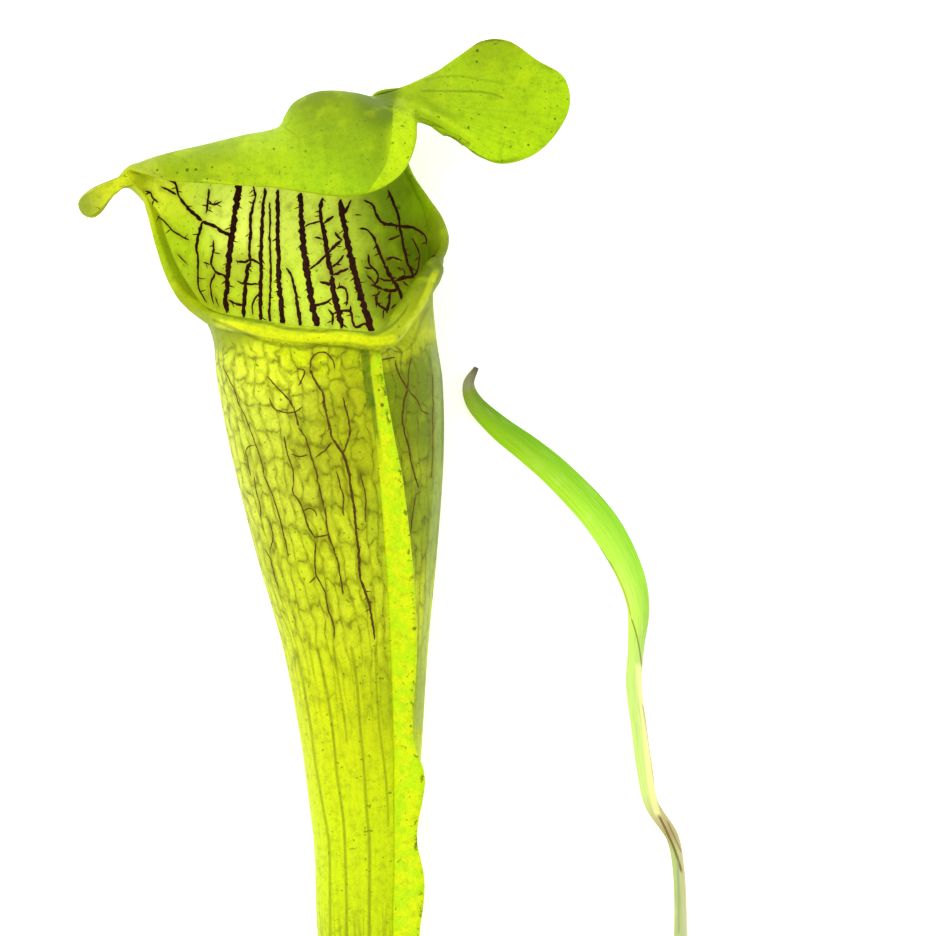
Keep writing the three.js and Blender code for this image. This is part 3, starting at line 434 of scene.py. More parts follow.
# Veins that show on the tube's outside, in the same way.
OUTER_VEINS = [
    (0.28, 0.34, [(-2.8, -7), (-1.6, -9.4), (-0.5, -11.1), (0, -13.9), (0.6, -16.6), (1.4, -19.7)]),
    (0.41, 0.31, [
        (1.4, -19.7), (3.3, -22.5), (4.2, -25.2), (4.6, -28), (5.1, -31.1), (5.5, -34.5), (5.8, -38),
        (6.2, -41.4), (6.3, -44.5), (7.7, -48.3), (8.4, -51.7), (9, -55.7)
    ]),
    (0.21, 0.28, [(-5.7, -13.7), (-5.3, -15.1), (-4.8, -17.5)]),
    (0.17, 0.21, [(-3.6, -19), (-2.8, -21.8), (-1.7, -25.2), (-1.3, -27.1)]),
    (0.21, 0.24, [
        (0, -31.8), (0.3, -34.9), (0.7, -36.9), (1.4, -39), (2.4, -42.1), (2.9, -44.9), (3.3, -47.8)
    ]),
    (0.24, 0.24, [(-1.9, -37.4), (-0.5, -37.1), (0.7, -36.8)]),
    (0.24, 0.16, [(1.3, -20.2), (-0.2, -21.8), (-1.6, -22.9)]),
    (0.28, 0.21, [(3.2, -22.4), (3.9, -20.4), (4.5, -18.3), (4.1, -15.6), (3.2, -12)]),
    (0.17, 0.24, [(-5.7, -29.4), (-4.3, -31.4), (-3.6, -33.5), (-2.8, -35.9), (-1.8, -37.4)]),
    (0.21, 0.17, [(-1.7, -38), (-1.6, -44.2), (-0.2, -46.6), (0.5, -50), (1.4, -52.4), (1.7, -55.5)]),
    (0.17, 0.16, [(-1.6, -44.2), (-2.9, -45.6)]),
    (0.21, 0.16, [(-7.4, -19), (-6.7, -22.5), (-5.7, -25.6), (-5.7, -28)]),
    (0.17, 0.21, [(-15.3, -13.9), (-14, -16.6), (-12.6, -20.4), (-11.4, -23.8), (-11, -26.1)]),
    (0.21, 0.17, [(-9.9, -34.7), (-9.3, -37.6), (-9.8, -39.5)]),
    (0.17, 0.17, [(-12.8, -26.4), (-12.4, -28.7), (-11.6, -31.8), (-11.7, -33.7)]),
    (0.17, 0.17, [(-10.9, -39.3), (-9.8, -41.4), (-9.1, -44.2), (-8.3, -46.6)]),
    (0.21, 0.31, [(12.6, -5.2), (12.9, -7), (13.9, -9), (14.9, -10.7)]),
    (0.31, 0.24, [
        (14.9, -10.7), (14.3, -12.8), (13.9, -15.6), (14.3, -18.3), (15, -21.1), (15.7, -24.5),
        (16.9, -28.5)
    ]),
    (0.17, 0.24, [(15.5, -4.9), (15.1, -7.3), (14.9, -10.6)]),
    (0.17, 0.17, [(10.3, -5.4), (11.5, -5.1), (12.6, -4.9)]),
    (0.21, 0.16, [(14.9, -10.7), (16.7, -12.8), (17.5, -14.5), (18.8, -15.2)]),
    (0.17, 0.17, [(19.4, -8), (19.4, -15.6), (19.4, -22.5), (19.2, -26.6)]),
    (0.17, 0.17, [(16.2, -30), (15.8, -32.8), (15.5, -36.2)]),
    (0.16, 0.16, [(-2.6, -7), (-2.3, -4.9), (-0.5, -3.9), (1.2, -4.9), (1.7, -7)]),
    (0.21, 0.16, [(-4.7, -10.1), (-4, -8.7), (-3.6, -7.3), (-5, -7)]),
    (0.17, 0.21, [(-18.4, -6.5), (-17.6, -8.1), (-16.6, -10.1), (-15.3, -13.9)]),
    (0.21, 0.17, [(-11, -26.1), (-9.9, -28.6), (-8.6, -32.4), (-7.5, -36.5), (-6.5, -41)]),
    (0.17, 0.24, [(-10.3, -8.3), (-8.8, -10.1), (-7.4, -11.5), (-6.1, -13), (-5.7, -13.9)]),
    (0.21, 0.21, [(-4.8, -17.5), (-4.1, -18.4), (-3.6, -19.2)]),
    (0.21, 0.21, [(-1.4, -27), (-0.9, -28.7), (-0.2, -31.9)]),
    (0.21, 0.21, [(-5.7, -28), (-5.9, -28.8), (-5.6, -29.6)]),
    (0.17, 0.17, [(-4.1, -13.9), (-5.8, -15), (-9.3, -14), (-10, -12.2)]),
    (0.17, 0.17, [(-6, -22.3), (-4.5, -22.9), (-3, -22.4)]),
    (0.16, 0.17, [(2, -25.4), (2.7, -27.8), (3.3, -30), (3.2, -33.5)]),
    (0.16, 0.17, [(6.3, -25.9), (7, -28.4), (7.4, -31), (7.2, -34.5)]),
    (0.16, 0.17, [(-12.8, -20.6), (-14.2, -21.4), (-13.9, -23.8), (-13.3, -26.2)]),
    (0.16, 0.17, [(-1.3, -33.5), (-2.4, -32), (-3.9, -32.6)]),
]

# Colours of the pitcher's outside and of its inside: centre (x, y), reach in mm and colour.
OUTSIDE_SPOTS = [
    (-40.5, 24, 5, "D3DC58"),  # tongue
    (-34, 28, 4, "ACBC48"),
    (-22.5, 30.6, 7, "98B418"),  # flap
    (-10, 29, 6, "B0D214"),
    (0.9, 26, 6, "A4D008"),
    # painted shade right of the crease below the hump
    (1.8, 36, 5, "8DAC0C"),
    (-0.9, 42.5, 3, "788A22"),  # hump: painted shade near its crest and on its right side
    (9, 40.5, 3, "647C04"),
    (7, 30, 4, "8CB00C"),
    (13.5, 32.4, 3, "B8D80C"),  # strip
    (18, 41.4, 3, "A0BE20"),  # paddle
    (31.5, 41.4, 7, "A8CE12"),
    (31.5, 33.3, 5, "BEEA0E"),
    (40.5, 41, 3.5, "B6E010"),
    (29.7, 51, 3.5, "9AB22E"),
    (-16, 2.5, 4, "96A60E"),  # lip
    (-5, -1, 4, "D8E60E"),
    (10, 0, 4, "C2D010"),
    (16, 7, 3, "A0AE0A"),
    (18.5, 12, 4, "7E8C0C"),
    (21, 18, 4, "96A63C"),
    (-9.9, -7.2, 5, "EEFA4C"),  # tube
    (-16, -16, 6, "DCE854"),
    (2, -22, 7, "B8C030"),
    (-10, -26, 8, "DCE650"),
    # painted shade on the tube's right side, in this spot, the next and the one at y -66
    (18, -14, 5, "768C18"),
    (17, -36, 6, "829628"),
    (4, -50, 14, "D8E440"),
    (3, -70, 12, "D8E634"),
    (14, -66, 6, "98AC2C"),
    (6, -95, 14, "D6EC1A"),
    (9, -150, 30, "B4C83A"),
    (14, -210, 30, "B9C556"),
    (18, -255, 20, "C2B96A"),
    (24, -290, 16, "B08A5C"),
]
INSIDE_SPOTS = [
    (-30, 24, 5, "DCE63C"),  # left flank
    (-26, 16, 5, "B6D222"),
    (-21, 6, 5, "AEBE28"),
    (-15, 20, 6, "EEFA6C"),  # back wall
    (-13, 6, 5, "C8DE3C"),
    (-6, 8, 5, "CCDF4A"),
    (1, 5, 5, "CCE046"),
    (-4, 22, 6, "D2E254"),
    (4, 19, 5, "B2C43A"),
    (-15.2, 12, 2.5, "A6B234"),
    (1.6, 10, 2, "8A8832"),
    (9, 8, 4, "74861C"),
    (12, 22, 5, "7C9A1A"),  # right side
    (17, 14, 4, "486008"),
    (20, 18, 3, "8C9E2A"),
    (17, 23.5, 2.5, "A2C622"),
    (4, 38, 8, "A8C830"),
    (12, 34, 6, "A2C22C"),
    (-20, 30, 6, "C0DA46"),
    (0, -20, 14, "A8BC3C"),
    (8, -100, 60, "98A83C"),
]
WING_COLOUR = "DEF034"
# Lines painted on the pitcher, as seen from the camera: the axis they run along, how far they reach to
# either side, how much of that is a soft edge, colour, strength and where they run.
LINES = [
    ("x", 1.1, 0.6, "ECF60C", 0.9, [  # the lip's bright middle
        (-20.3, 1.4), (-17.1, 0.9), (-13.5, 0.2), (-10.6, -0.7), (-7.4, -1.3), (-3.8, -1.5), (-0.2, -1.3),
        (2.7, -1.3), (5.6, -1.6), (7.7, -2), (9.9, -2), (12.1, -1.6), (13.5, -0.7)
    ]),
    ("y", 1.0, 0.7, "DCEA0C", 0.7, [
        (13.5, -0.7), (14.9, 0.7), (16.4, 2.9), (17.8, 5.4), (19.1, 8.5), (20.2, 11.3)
    ]),
    ("x", 0.5, 0.8, "5E6A0C", 0.6, [  # the shadow under the lip
        (-21, 2.2), (-17.5, 0.7), (-14.2, -0.7), (-10.6, -2.2), (-7.2, -2.9), (-3.8, -3), (0.9, -2.9),
        (3.6, -3.1), (5.9, -3.6), (7, -4.1)
    ]),
    ("y", 0.5, 0.8, "5E6A0C", 0.55, [
        (13.9, -4.1), (15.7, -2.5), (16.7, -0.2), (17.6, 2.2), (18.9, 4.5)
    ]),
    ("x", 0.55, 0.8, "48660A", 0.7, [  # painted shade along the lip's inner edge, where it turns into the mouth
        (-21.6, 4), (-15.3, 2.2), (-9.9, 1.1), (-7.4, 0.4), (-3.8, 0), (-0.9, -0.2), (2.7, 0.1),
        (6.3, -0.2), (8.5, -0.7), (10.3, -0.2), (12.1, 0.9), (13.5, 2.3), (15.3, 4.9)
    ]),
    ("y", 0.95, 0.35, "4E6E0C", 0.9, [  # painted shade in the groove beside the wing, here and in the next line
        (7.1, -3.2), (7.5, -7.2), (8, -10.8), (8.4, -15)
    ]),
    ("y", 0.5, 0.5, "54740E", 0.75, [(8.3, -11), (8.8, -15), (9.4, -20)]),
    ("y", 0.4, 0.8, "66700A", 0.6, [  # down the lower tube
        (-5.5, -56.8), (-4, -63.3), (-2.5, -72.1), (-1.8, -77.5), (-0.4, -85.7), (0.7, -92.5),
        (0.9, -102.7), (0.9, -112)
    ]),
    ("y", 0.4, 0.8, "66700A", 0.65, [
        (-1.5, -56.8), (0.2, -64.3), (1.4, -72.1), (2.1, -79.6), (3.3, -88.4), (3.7, -96.6), (4, -112)
    ]),
    ("y", 0.35, 0.8, "66700A", 0.55, [(1.4, -56.5), (2.6, -64.3), (3.5, -70.1), (4, -74.8)]),
    ("y", 0.45, 0.8, "66700A", 0.65, [
        (4.6, -56.5), (5.7, -63.3), (6.3, -71.1), (7, -78.9), (7.5, -86.4), (8, -92.5), (8, -100),
        (7.9, -112)
    ]),
    ("y", 0.35, 0.8, "66700A", 0.55, [
        (9.1, -55.8), (9.2, -61.9), (9.7, -70.4), (10.4, -76.2), (11.1, -82.3), (11.4, -89.8)
    ]),
    ("x", 0.3, 0.8, "66700A", 0.7, [(4, -93.5), (6, -93.3)]),
    ("y", 0.8, 0.5, "A6BA66", 0.6, [  # the greyish strip down the tube's right edge
        (19.2, -2), (20, -7.2), (20.3, -12.6), (20.3, -23.4), (20.1, -28.8), (19.2, -39.6), (18.3, -50.4),
        (17.4, -61.2), (16.7, -72)
    ]),
    ("y", 2.6, 1, "6E8C08", 0.5, [  # painted shade on the hump's right side, and in the next line a painted highlight on the strip beside it
        (10.4, 41.5), (10.3, 36.4), (9.9, 32.9), (9.2, 30.6), (7.7, 28.4)
    ]),
    ("y", 2.1, 0.12, "CAEC1E", 0.75, [
        (14.3, 41.5), (14.1, 36.9), (13.8, 33.3), (13.2, 30.6), (12.1, 28.4), (10.5, 26), (8, 22.5)
    ]),
    # painted shade along the crease that runs down from the notch in the hood's top
    ("x", 0.4, 0.8, "84961C", 0.5, [(-7.9, 36.9), (-6.3, 35.8), (-4.9, 34.7), (-3.9, 32.7)]),
    ("x", 0.5, 0.9, "D8F22C", 0.55, [  # a painted highlight along the flap's lower edge
        (-22.5, 27.1), (-18, 26.4), (-11.3, 25.5), (-6.3, 24.6), (-0.9, 24), (4.5, 24), (9.5, 25.3),
        (12.1, 27), (13.9, 29.2)
    ]),
    ("x", 0.35, 0.8, "768C12", 0.75, [(16.8, 43), (23.9, 43), (28.3, 42.8), (32.6, 41.5)]),  # the paddle: painted shade in its folds and under its rolled lower edge, and a painted highlight between them
    ("x", 0.35, 0.8, "7E9418", 0.5, [(17.3, 44.8), (23.4, 45.7), (27.4, 45.2), (32.6, 44.3)]),
    ("x", 1.1, 1, "7E9A14", 0.5, [(15.8, 42.6), (17.3, 41.7), (20.8, 39.5), (24.5, 38)]),
    ("x", 0.7, 0.7, "66800F", 0.6, [(15, 39), (17.1, 38), (20.8, 36.2), (24, 34), (26.5, 31.8), (29, 30.4)]),
    ("x", 0.9, 0.9, "CBE650", 0.55, [(16, 40.2), (21.5, 37.9), (25, 35.7), (28.5, 33.2)]),
    ("x", 0.35, 0.7, "8A9A30", 0.6, [  # the tongue's rim
        (-44, 22), (-42.6, 19.6), (-40.6, 19.3), (-38.6, 21), (-37, 23.2), (-35, 24.6)
    ]),
]

# The narrow leaf, tip to foot: the middle of the blade, its width, how far its right edge turns down
# in degrees, and how high its lowest edge lies.
STRAP = [
    (27.3, -6.5, 0.9, 0, 2.2),
    (25.9, -9.5, 2.1, 10, 1.6),
    (26.8, -12.6, 3.2, 10, 1),
    (31.1, -17.1, 4.3, 5, 0.5),
    (36.9, -21.6, 5.1, 0, 0.2),
    (42.2, -26.1, 5.5, 0, 0),
    (50.4, -35.1, 5.9, 0, 0),
    (55.3, -44.1, 5.1, 0, 0),
    (56.95, -50, 4.4, 20, 0),
    (56.7, -57.6, 4.5, 48, 0),
    (56.3, -64, 4.5, 50, 0),
    (57.2, -72, 4.4, 50, 0),
    (58.3, -80.1, 4.3, 48, 0),
    (59.5, -86, 4.3, 55, 0),
    (63.3, -92, 4.5, 62, 0),
    (64.4, -98.1, 3.9, 58, 0),
    (64.8, -109, 3.9, 52, 0),
    (64.7, -130, 4, 30, 0),
    (62.3, -160, 4.1, 0, 0),
    (56, -200, 4.2, 0, 0),
    (47.5, -245, 4.4, 0, 0.3),
    (41, -277, 4.8, 0, 1.2),
    (38.4, -291.2, 5.4, 0, 2),
]
STRAP_THICK = 0.9
STRAP_FOOT_THICK = 3
STRAP_STEPS = 520
STRAP_SIDES = 40
STRAP_FOLD = 0.1  # how far its edges bend up, as a share of its width
STRAP_FOOT_FROM = 0.9  # the share of its length from which it thickens
# Colours down the narrow leaf: height y, its left edge, its right edge.
STRAP_COLOURS = [
    (-6.5, "6E6450", "5A5240"),
    (-8, "A8A080", "7A7458"),
    (-9.6, "B8B48C", "8A8460"),
    (-11.2, "A6BE3C", "76922A"),
    (-16, "A4D818", "6EA418"),
    (-22, "AEE226", "80BC20"),
    (-32, "BAF03E", "92D42C"),
    (-45, "CAFA58", "A4E040"),
    (-54, "D0FA60", "A2D24C"),
    (-58, "CCF26C", "ACD864"),
    (-64, "CCEE78", "D6EE80"),
    (-75, "CEEC7C", "F2F49A"),
    (-84, "D6EC86", "E8EE90"),
    (-88, "C4BC80", "C6B87E"),
    (-91, "AEA068", "BCA870"),
    (-95, "BCCB7C", "CDBE8C"),
    (-109, "B8C880", "D0D0A0"),
    (-150, "B4CC6A", "BCC47E"),
    (-200, "BCC67A", "C2C07E"),
    (-260, "C6B878", "C8A878"),
    (-291.2, "B89468", "AE7E54"),
]
# Lines on the narrow leaf, written as those on the pitcher.
LEAF_LINES = [
    ("y", 0.2, 0.6, "7C6A34", 0.75, [(55, -51.5), (55.5, -53), (56.1, -55), (56.9, -59.6), (57, -61)]),
    ("y", 0.22, 0.7, "8A7430", 0.5, [(50.9, -41), (52.5, -44), (54.2, -48), (55.1, -52)]),
    ("y", 0.8, 0.6, "F6F4A0", 0.7, [
        (56.2, -59.5), (56.9, -65.3), (57.5, -70.6), (58.1, -77.4), (59, -84), (60.2, -88)
    ]),
    ("y", 0.2, 0.6, "A88448", 0.6, [(57.1, -67), (58.3, -74.3), (59.4, -81.9), (60.8, -87.1)]),
    ("y", 0.3, 0.5, "6E4E20", 0.8, [(59.9, -87), (61.6, -90.5), (63.1, -94), (64.3, -98)]),
    ("y", 0.2, 0.5, "6E4E20", 0.6, [(61.4, -88), (62.8, -91), (64.4, -94.5)]),
    ("y", 0.3, 0.6, "96A070", 0.6, [(63.5, -95), (63.6, -100), (63.7, -109)]),
]

# The bud of the next leaf: distance from its foot, radius.
BUD = [
    (0, 2.3),
    (5, 2.6),
    (12, 2.3),
    (19, 1.5),
    (25, 0.6),
]
BUD_FOOT = (31.6, -290.5, 12.4)
BUD_LEAN = (-0.03, 1, 0.06)
BUD_SCALES = 5
BUD_TIP = 1.2  # how far its rounded tip goes on
BUD_SCALE_GAP = 3.2
BUD_SCALE_LENGTH = 10.5
BUD_SCALE_WRAP = 1.5  # half of the angle each covers
BUD_SCALE_TURN = 2.4  # from one to the next
BUD_SCALE_POINT = 0.9
BUD_SCALE_LOOSE = (0.3, 0.35)  # how far it stands off at its foot and tip
BUD_ROWS = 90
BUD_SIDES = 48

# The rhizome, crown to old end: height y, centre x, half width, half depth.
RHIZOME = [
    (-283.5, 31, 6.5, 4.8),
    (-286, 31, 10.6, 7.8),
    (-290, 31, 12.6, 8.7),
    (-296, 31.2, 12.2, 8.5),
    (-303, 31.8, 10.6, 8),
    (-311, 32.6, 9.8, 7.6),
    (-319, 33.4, 8.8, 7),
    (-324, 33.8, 6.4, 5.4),
]
RHIZOME_SINK = 0.4
RHIZOME_ROWS = 160
RHIZOME_SIDES = 150
SCAR_EVERY = 5.2
SCAR_HEIGHT = 0.45
# Bumps over its skin: height, waves round it, turn for each mm down it.
RHIZOME_BUMPS = [
    (0.5, 3, 1),
    (0.3, 5, -0.7),
    (0.12, 19, 2.1),
    (0.08, 31, -5.3),
]

# The roots
ROOT_COUNT = 12
ROOT_LENGTH = (26, 40)
ROOT_RADIUS = (0.95, 0.5)
ROOT_PARTS = 5
ROOT_FROM = (-291, -322)  # y at which the first and the last root start
ROOT_HEADING = (-8, -72)  # degrees from sideways, first and last root
ROOT_SEAT = (3, 5)  # how far out and how high each root starts
ROOT_OUT = (4, 9)  # how far out its bend down is, and how much further where it heads sideways
ROOT_BEND = (3.2, 1.5)  # the bend's least height, and how much higher it may be
ROOT_LAND = 1.2  # height at which it comes down to the floor
ROOT_REST = 0.87  # height of its middle along the floor, as a share of its radius
ROOT_SCATTER = 16
ROOT_SWING = 26
ROOT_WOBBLE = 0.05
ROOT_STEP = 0.5
ROOT_SIDES = 12
ROOTLETS = 8  # on each root
ROOTLET_RADIUS = (0.22, 0.08)
ROOTLET_LENGTH = (2.5, 6)
ROOTLET_TURN = (35, 75)
ROOTLET_PARTS = 4
ROOTLET_SWING = 0.3
ROOTLET_STEP = 0.4
ROOTLET_SIDES = 6

# Papery sheaths round the leaf feet: foot, direction, radius at foot and tip, half of the angle each
# covers, length, and the angle each faces, in degrees.
SCALES = [
    ((24.7, -292, 7.6), (-0.2, 1, 0), (5.0, 4.9), 110, 19, 60),
    ((24.7, -292, 7.6), (-0.2, 1, 0), (5.3, 5.2), 90, 13, 170),
    ((24.9, -293, 7.6), (-0.2, 1, 0), (5.6, 5.6), 80, 9, 20),
    ((38.4, -292, 4.2), (0.2, 1, 0), (3.7, 3.5), 100, 14, 80),
    ((38.4, -292, 4.2), (0.2, 1, 0), (4.0, 4.0), 80, 9, 10),
    ((31.6, -292, 11.9), (0, 1, 0.06), (3.2, 3.2), 120, 9, 100),
]
SCALE_THICK = 0.25
SCALE_COLUMNS = 25
SCALE_ROWS = 30
SCALE_POINT = 0.5  # 0 is round and 1 is pointed
SCALE_RAGGED = 0.05
SCALE_CRINKLE = 0.15

# The veins' ribbons
VEIN_STEP = 0.3
VEIN_ROUGH = 0.3
VEIN_SWAY = 0.09
VEIN_LEAST = 4  # rows of a vein that have to show for it to be made
VEIN_TIP = 0.35  # the share of its width that a vein has at its very ends
VEIN_TAPER = 1.1  # how fast it widens from there, in shares for each mm
VEIN_RISE = 0.07
VEIN_SLOPE = 0.3  # the most that it rises, as a share of half its width
MOUTH_SOFT = 0.15  # mm of soft edge by which veins show wider than in their tables
TUBE_SOFT = 0.12
TWIG_FROM = 0.45  # veins at least this wide have twigs
TWIG_GAP = 0.8
TWIG_SHARE = 0.3
TWIG_LENGTH = (0.2, 1)
TWIG_TURN = (0.6, 1.5)  # radians away from the vein
TWIG_WIDTH = (0.36, 0.2)
TWIG_KNEE = 0.08
# Across a vein: share of its half width, share of its rise, or depth in mm where it is negative.
VEIN_SECTION = [
    (-0.8, -0.15),
    (-1, -0.02),
    (-0.75, 0.7),
    (0, 1),
    (0.75, 0.7),
    (1, -0.02),
    (0.8, -0.15),
]
TUBE_GIRTH = 122  # mm round the tube at its widest

# The net on the tube: the cells' width and length under the lip, how far down they are twice as long,
# and how much their corners are rounded.
NET_WIDE = 2.7
NET_LONG = 3.4
NET_STRETCH = 40
NET_ROUND = 0.7
NET_FADE = 0.85  # the share of it that is gone low down the tube
# How the net is bent, one bend after the other: how fine, and how far in mm.
NET_BENDS = [
    (0.16, (6, 3, 0)),
    (0.5, (2.4, 2.4, 0)),
    (1.6, (0.5, 0.5, 0)),
]
# Dark dots: where they are seen and their radius.
DOTS = [
    (10.3, -13.5, 0.5),
    (9.7, -10.8, 0.3),
    (-24.8, 28.8, 0.45),
    (-23.2, 28.9, 0.35),
    (-26.6, 28.3, 0.25),
    (-21.2, 27.2, 0.25),
    (-18.9, 26.9, 0.2),
    (-20.3, 29.3, 0.25),
    (-9.2, 32.6, 0.3),
    (-30.2, 28.8, 0.3),
    (27.4, 50.3, 0.4),
    (27.3, 48.3, 0.3),
    (25.8, 36.4, 0.3),
    (36.6, 33.3, 0.3),
    (41.4, 38, 0.3),
    (32.4, 36.4, 0.25),
]

# Light: the white surface is bright enough to show as white, so skins are that much darker.
WORLD_STRENGTH = 0.95
KEY_STRENGTH = 1.3
KEY_SPREAD = 40
KEY_FROM = (-0.45, 0.35, 1)
ALBEDO = 0.85
# strengths of a painted glow: light given off in their own colours by the inside of the pitcher's mouth and
# by the narrow leaf
GLOW = 0.55
LEAF_GLOW = 0.12
RIGHT_GLOW = 0.2  # the share of it on the right side of the mouth
FLOOR_GLOW = 0.5
FLOOR_REACH = 1.5  # metres to either side
FLOOR_DROP = 0.0002
LINE_FADE = 0.9  # mm over which a thin painted line fades out at its ends

# Where one look of the pitcher gives way to another: heights y, or levels where the name or a note
# says so.
WING_RANGE = (-200, -110)
WING_TOP_RANGE = (-20, -6)
WING_TOP = 0.6  # the wing colour's share above that
WING_LEVELS = (5, 7.5)
ROOT_RANGE = (-28, -16)
ROOT_SHARE = 0.2  # of the wing's height: what stands lower is its root
CREST_SHARE = 0.95
LIP_RANGE = (-6, -2)
NET_RANGE = (-4, -0.5)
LOW_RANGE = (-80, -45)
FAR_RANGE = (-112, -100)
HOOD_RANGE = (3, 5)  # levels
GLOW_RANGE = (-60, -5)
GLOW_LEVELS = (4.6, 5.6)
RIGHT_RANGE = (2, 12)  # x
INNER_SHADE = 1.0  # mm to either side of a vein in the mouth that are darker
OUTER_SHADE = 0.9
INSIDE_SHIFT = 50  # mm between the noise outside and inside

# Curves and tables


def look_up(table, x):
    """A smooth value of each further column of a table at the first column's value x."""
    rows = np.asarray(table, float)
    xs, values = rows[:, 0], rows[:, 1:]
    last = len(xs) - 1
    x = np.asarray(x, float)
    i = np.clip(np.searchsorted(xs, x, side="left") - 1, 0, last - 1)
    before = np.maximum(np.arange(last + 1) - 1, 0)
    after = np.minimum(np.arange(last + 1) + 1, last)
    slope = (values[after] - values[before]) / (xs[after] - xs[before])[:, None]
    width = (xs[i + 1] - xs[i])[..., None]
    t = np.clip((x - xs[i])[..., None] / width, 0, 1)
    rise = values[i + 1] - values[i]
    a = slope[i] * width - rise
    b = rise - slope[i + 1] * width
    return values[i] + rise * t + t * (1 - t) * (a * (1 - t) + b * t)


def tube_point(y, angle, grow=0.0):
    """The point of the tube's outside at height y and angle degrees from its front."""
    y, angle = np.broadcast_arrays(np.asarray(y, float), np.asarray(angle, float))
    x, z, half_width, half_depth = np.moveaxis(look_up(TUBE, y), -1, 0)
    turn = np.radians(angle + look_up(TWIST, np.minimum(y, COLLAR))[..., 0])
    across = x + (half_width + grow) * np.sin(turn)
    return np.stack([across, y, z + (half_depth + grow) * np.cos(turn)], -1)


def catmull(points, at, closed=False):
    """Centripetal Catmull-Rom curves through points (..., n, 3) at places counted in points."""
    points = np.asarray(points, float)
    at = np.asarray(at, float)
    n = points.shape[-2]
    if closed:
        k = np.floor(at).astype(int)
        p0, p1, p2, p3 = (points[..., (k + d) % n, :] for d in (-1, 0, 1, 2))
    else:
        k = np.clip(np.floor(at).astype(int), 0, n - 2)
        first = 2 * points[..., :1, :] - points[..., 1:2, :]
        last = 2 * points[..., -1:, :] - points[..., -2:-1, :]
        long = np.concatenate([first, points, last], axis=-2)
        p0, p1, p2, p3 = (long[..., k + d, :] for d in range(4))
    t = (at - k)[..., None]

    def step(a, b):
        return np.sqrt(np.linalg.norm(b - a, axis=-1, keepdims=True))

    d1 = np.maximum(step(p1, p2), 1e-4)
    d0 = np.where(step(p0, p1) < 1e-4, d1, step(p0, p1))
    d2 = np.where(step(p2, p3) < 1e-4, d1, step(p2, p3))
    m1 = ((p1 - p0) / d0 - (p2 - p0) / (d0 + d1) + (p2 - p1) / d1) * d1
    m2 = ((p2 - p1) / d1 - (p3 - p1) / (d1 + d2) + (p3 - p2) / d2) * d1
    a = 2 * p1 - 2 * p2 + m1 + m2
    b = -3 * p1 + 3 * p2 - 2 * m1 - m2
    return ((a * t + b) * t + m1) * t + p1


def lengths(line):
    """How far each point of a line is from its start, along it."""
    return np.concatenate([[0], np.cumsum(np.linalg.norm(np.diff(line, axis=0), axis=1))])


def along_curve(points, spacing):
    """Points about spacing apart along a smooth open curve."""
    fine = np.linspace(0, len(points) - 1, CURVE_STEPS * len(points))
    length = lengths(catmull(points, fine))
    count = max(3, int(round(length[-1] / spacing)) + 1)
    return catmull(points, np.interp(np.linspace(0, length[-1], count), length, fine))


def unit(v):
    return v / np.maximum(np.linalg.norm(v, axis=-1, keepdims=True), 1e-9)


def smooth_step(low, high, x):
    t = np.clip((np.asarray(x, float) - low) / (high - low), 0, 1)
    return t * t * (3 - 2 * t)


# Colours


def colour(code):
    """A linear colour from its usual six-digit code."""
    parts = np.array([int(code[k:k + 2], 16) for k in (0, 2, 4)]) / 255
    return np.where(parts <= 0.04045, parts / 12.92, ((parts + 0.055) / 1.055) ** 2.4)


# Meshes


def new_piece(name, points, faces, slot, node):
    """A smooth mesh from points in millimetres, as a piece of the plant."""
    mesh = bpy.data.meshes.new(name)
    mesh.from_pydata((np.asarray(points) * MM).tolist(), [], [list(f) for f in faces])
    mesh.validate()
    mesh.polygons.foreach_set("use_smooth", [True] * len(mesh.polygons))
    piece = bpy.data.objects.new(name, mesh)
    bpy.context.scene.collection.objects.link(piece)
    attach(piece, "root")
    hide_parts(node)
    return piece


def set_values(piece, name, values):
    """Stores one number or one colour for each point of a piece."""
    values = np.asarray(values, np.float32)
    if values.ndim == 1:
        layer = piece.data.attributes.new(name, "FLOAT", "POINT")
        layer.data.foreach_set("value", values)
    else:
        layer = piece.data.attributes.new(name, "FLOAT_COLOR", "POINT")
        rgba = np.concatenate([values, np.ones((len(values), 1), np.float32)], 1)
        layer.data.foreach_set("color", rgba.ravel())


def ring_faces(rows, width):
    """The four-sided faces between closed rows of equal length."""
    i, j = np.meshgrid(np.arange(rows - 1), np.arange(width), indexing="ij")
    a = i * width + j
    b = i * width + (j + 1) % width
    return np.stack([a, b, b + width, a + width], -1).reshape(-1, 4).tolist()


# The pitcher


def mix(a, b, share):
    return a + (b - a) * share


def mix_point(a, b, share):
    return tuple(mix(p, q, share) for p, q in zip(a, b))


def tongue_ribs():
    ribs = [rib(-126.5, 3, [(-30.7, 21.2, 16.3), (-35.1, 25.7, 22)], THIN, [4.25, TOP_LEVEL])]
    for k, tip in enumerate(TONGUE_OUTLINE):
        share = (k + 0.5) / len(TONGUE_OUTLINE)
        lines = (TONGUE_ROOT, TONGUE_SHOULDER, TONGUE_NECK)
        points = [mix_point(*line, share) for line in lines] + [tip]
        ribs.append(rib(mix(*TONGUE_ANGLES, share), 3, points, THIN))
    last = [(-28.9, 26, 14), (-32.9, 29, 19), (-34.6, 29.8, 21), (-35.6, 29.2, 22.6)]
    return ribs + [rib(-139.5, 3, last, THIN)]


def paddle_ribs():
    ribs = []
    for k, edge in enumerate(PADDLE_OUTLINE):
        share = (k + 0.5) / len(PADDLE_OUTLINE)
        lines = (PADDLE_COLUMN, PADDLE_SHOULDER, PADDLE_CREST, PADDLE_RISE, PADDLE_NECK)
        points = [mix_point(*line, share) for line in lines]
        x, y, z = mix_point(points[-1], edge, 0.5)
        middle = (x, y, z + PADDLE_DOME * math.sin(math.pi * share))
        angle = mix(*PADDLE_ANGLES, share)
        ribs.append(rib(angle, 3, points + [middle, edge], THIN, PADDLE_LEVELS))
    return ribs


def hood_ribs(table):
    return [rib(angle, 3, points, THIN) for angle, points in table]


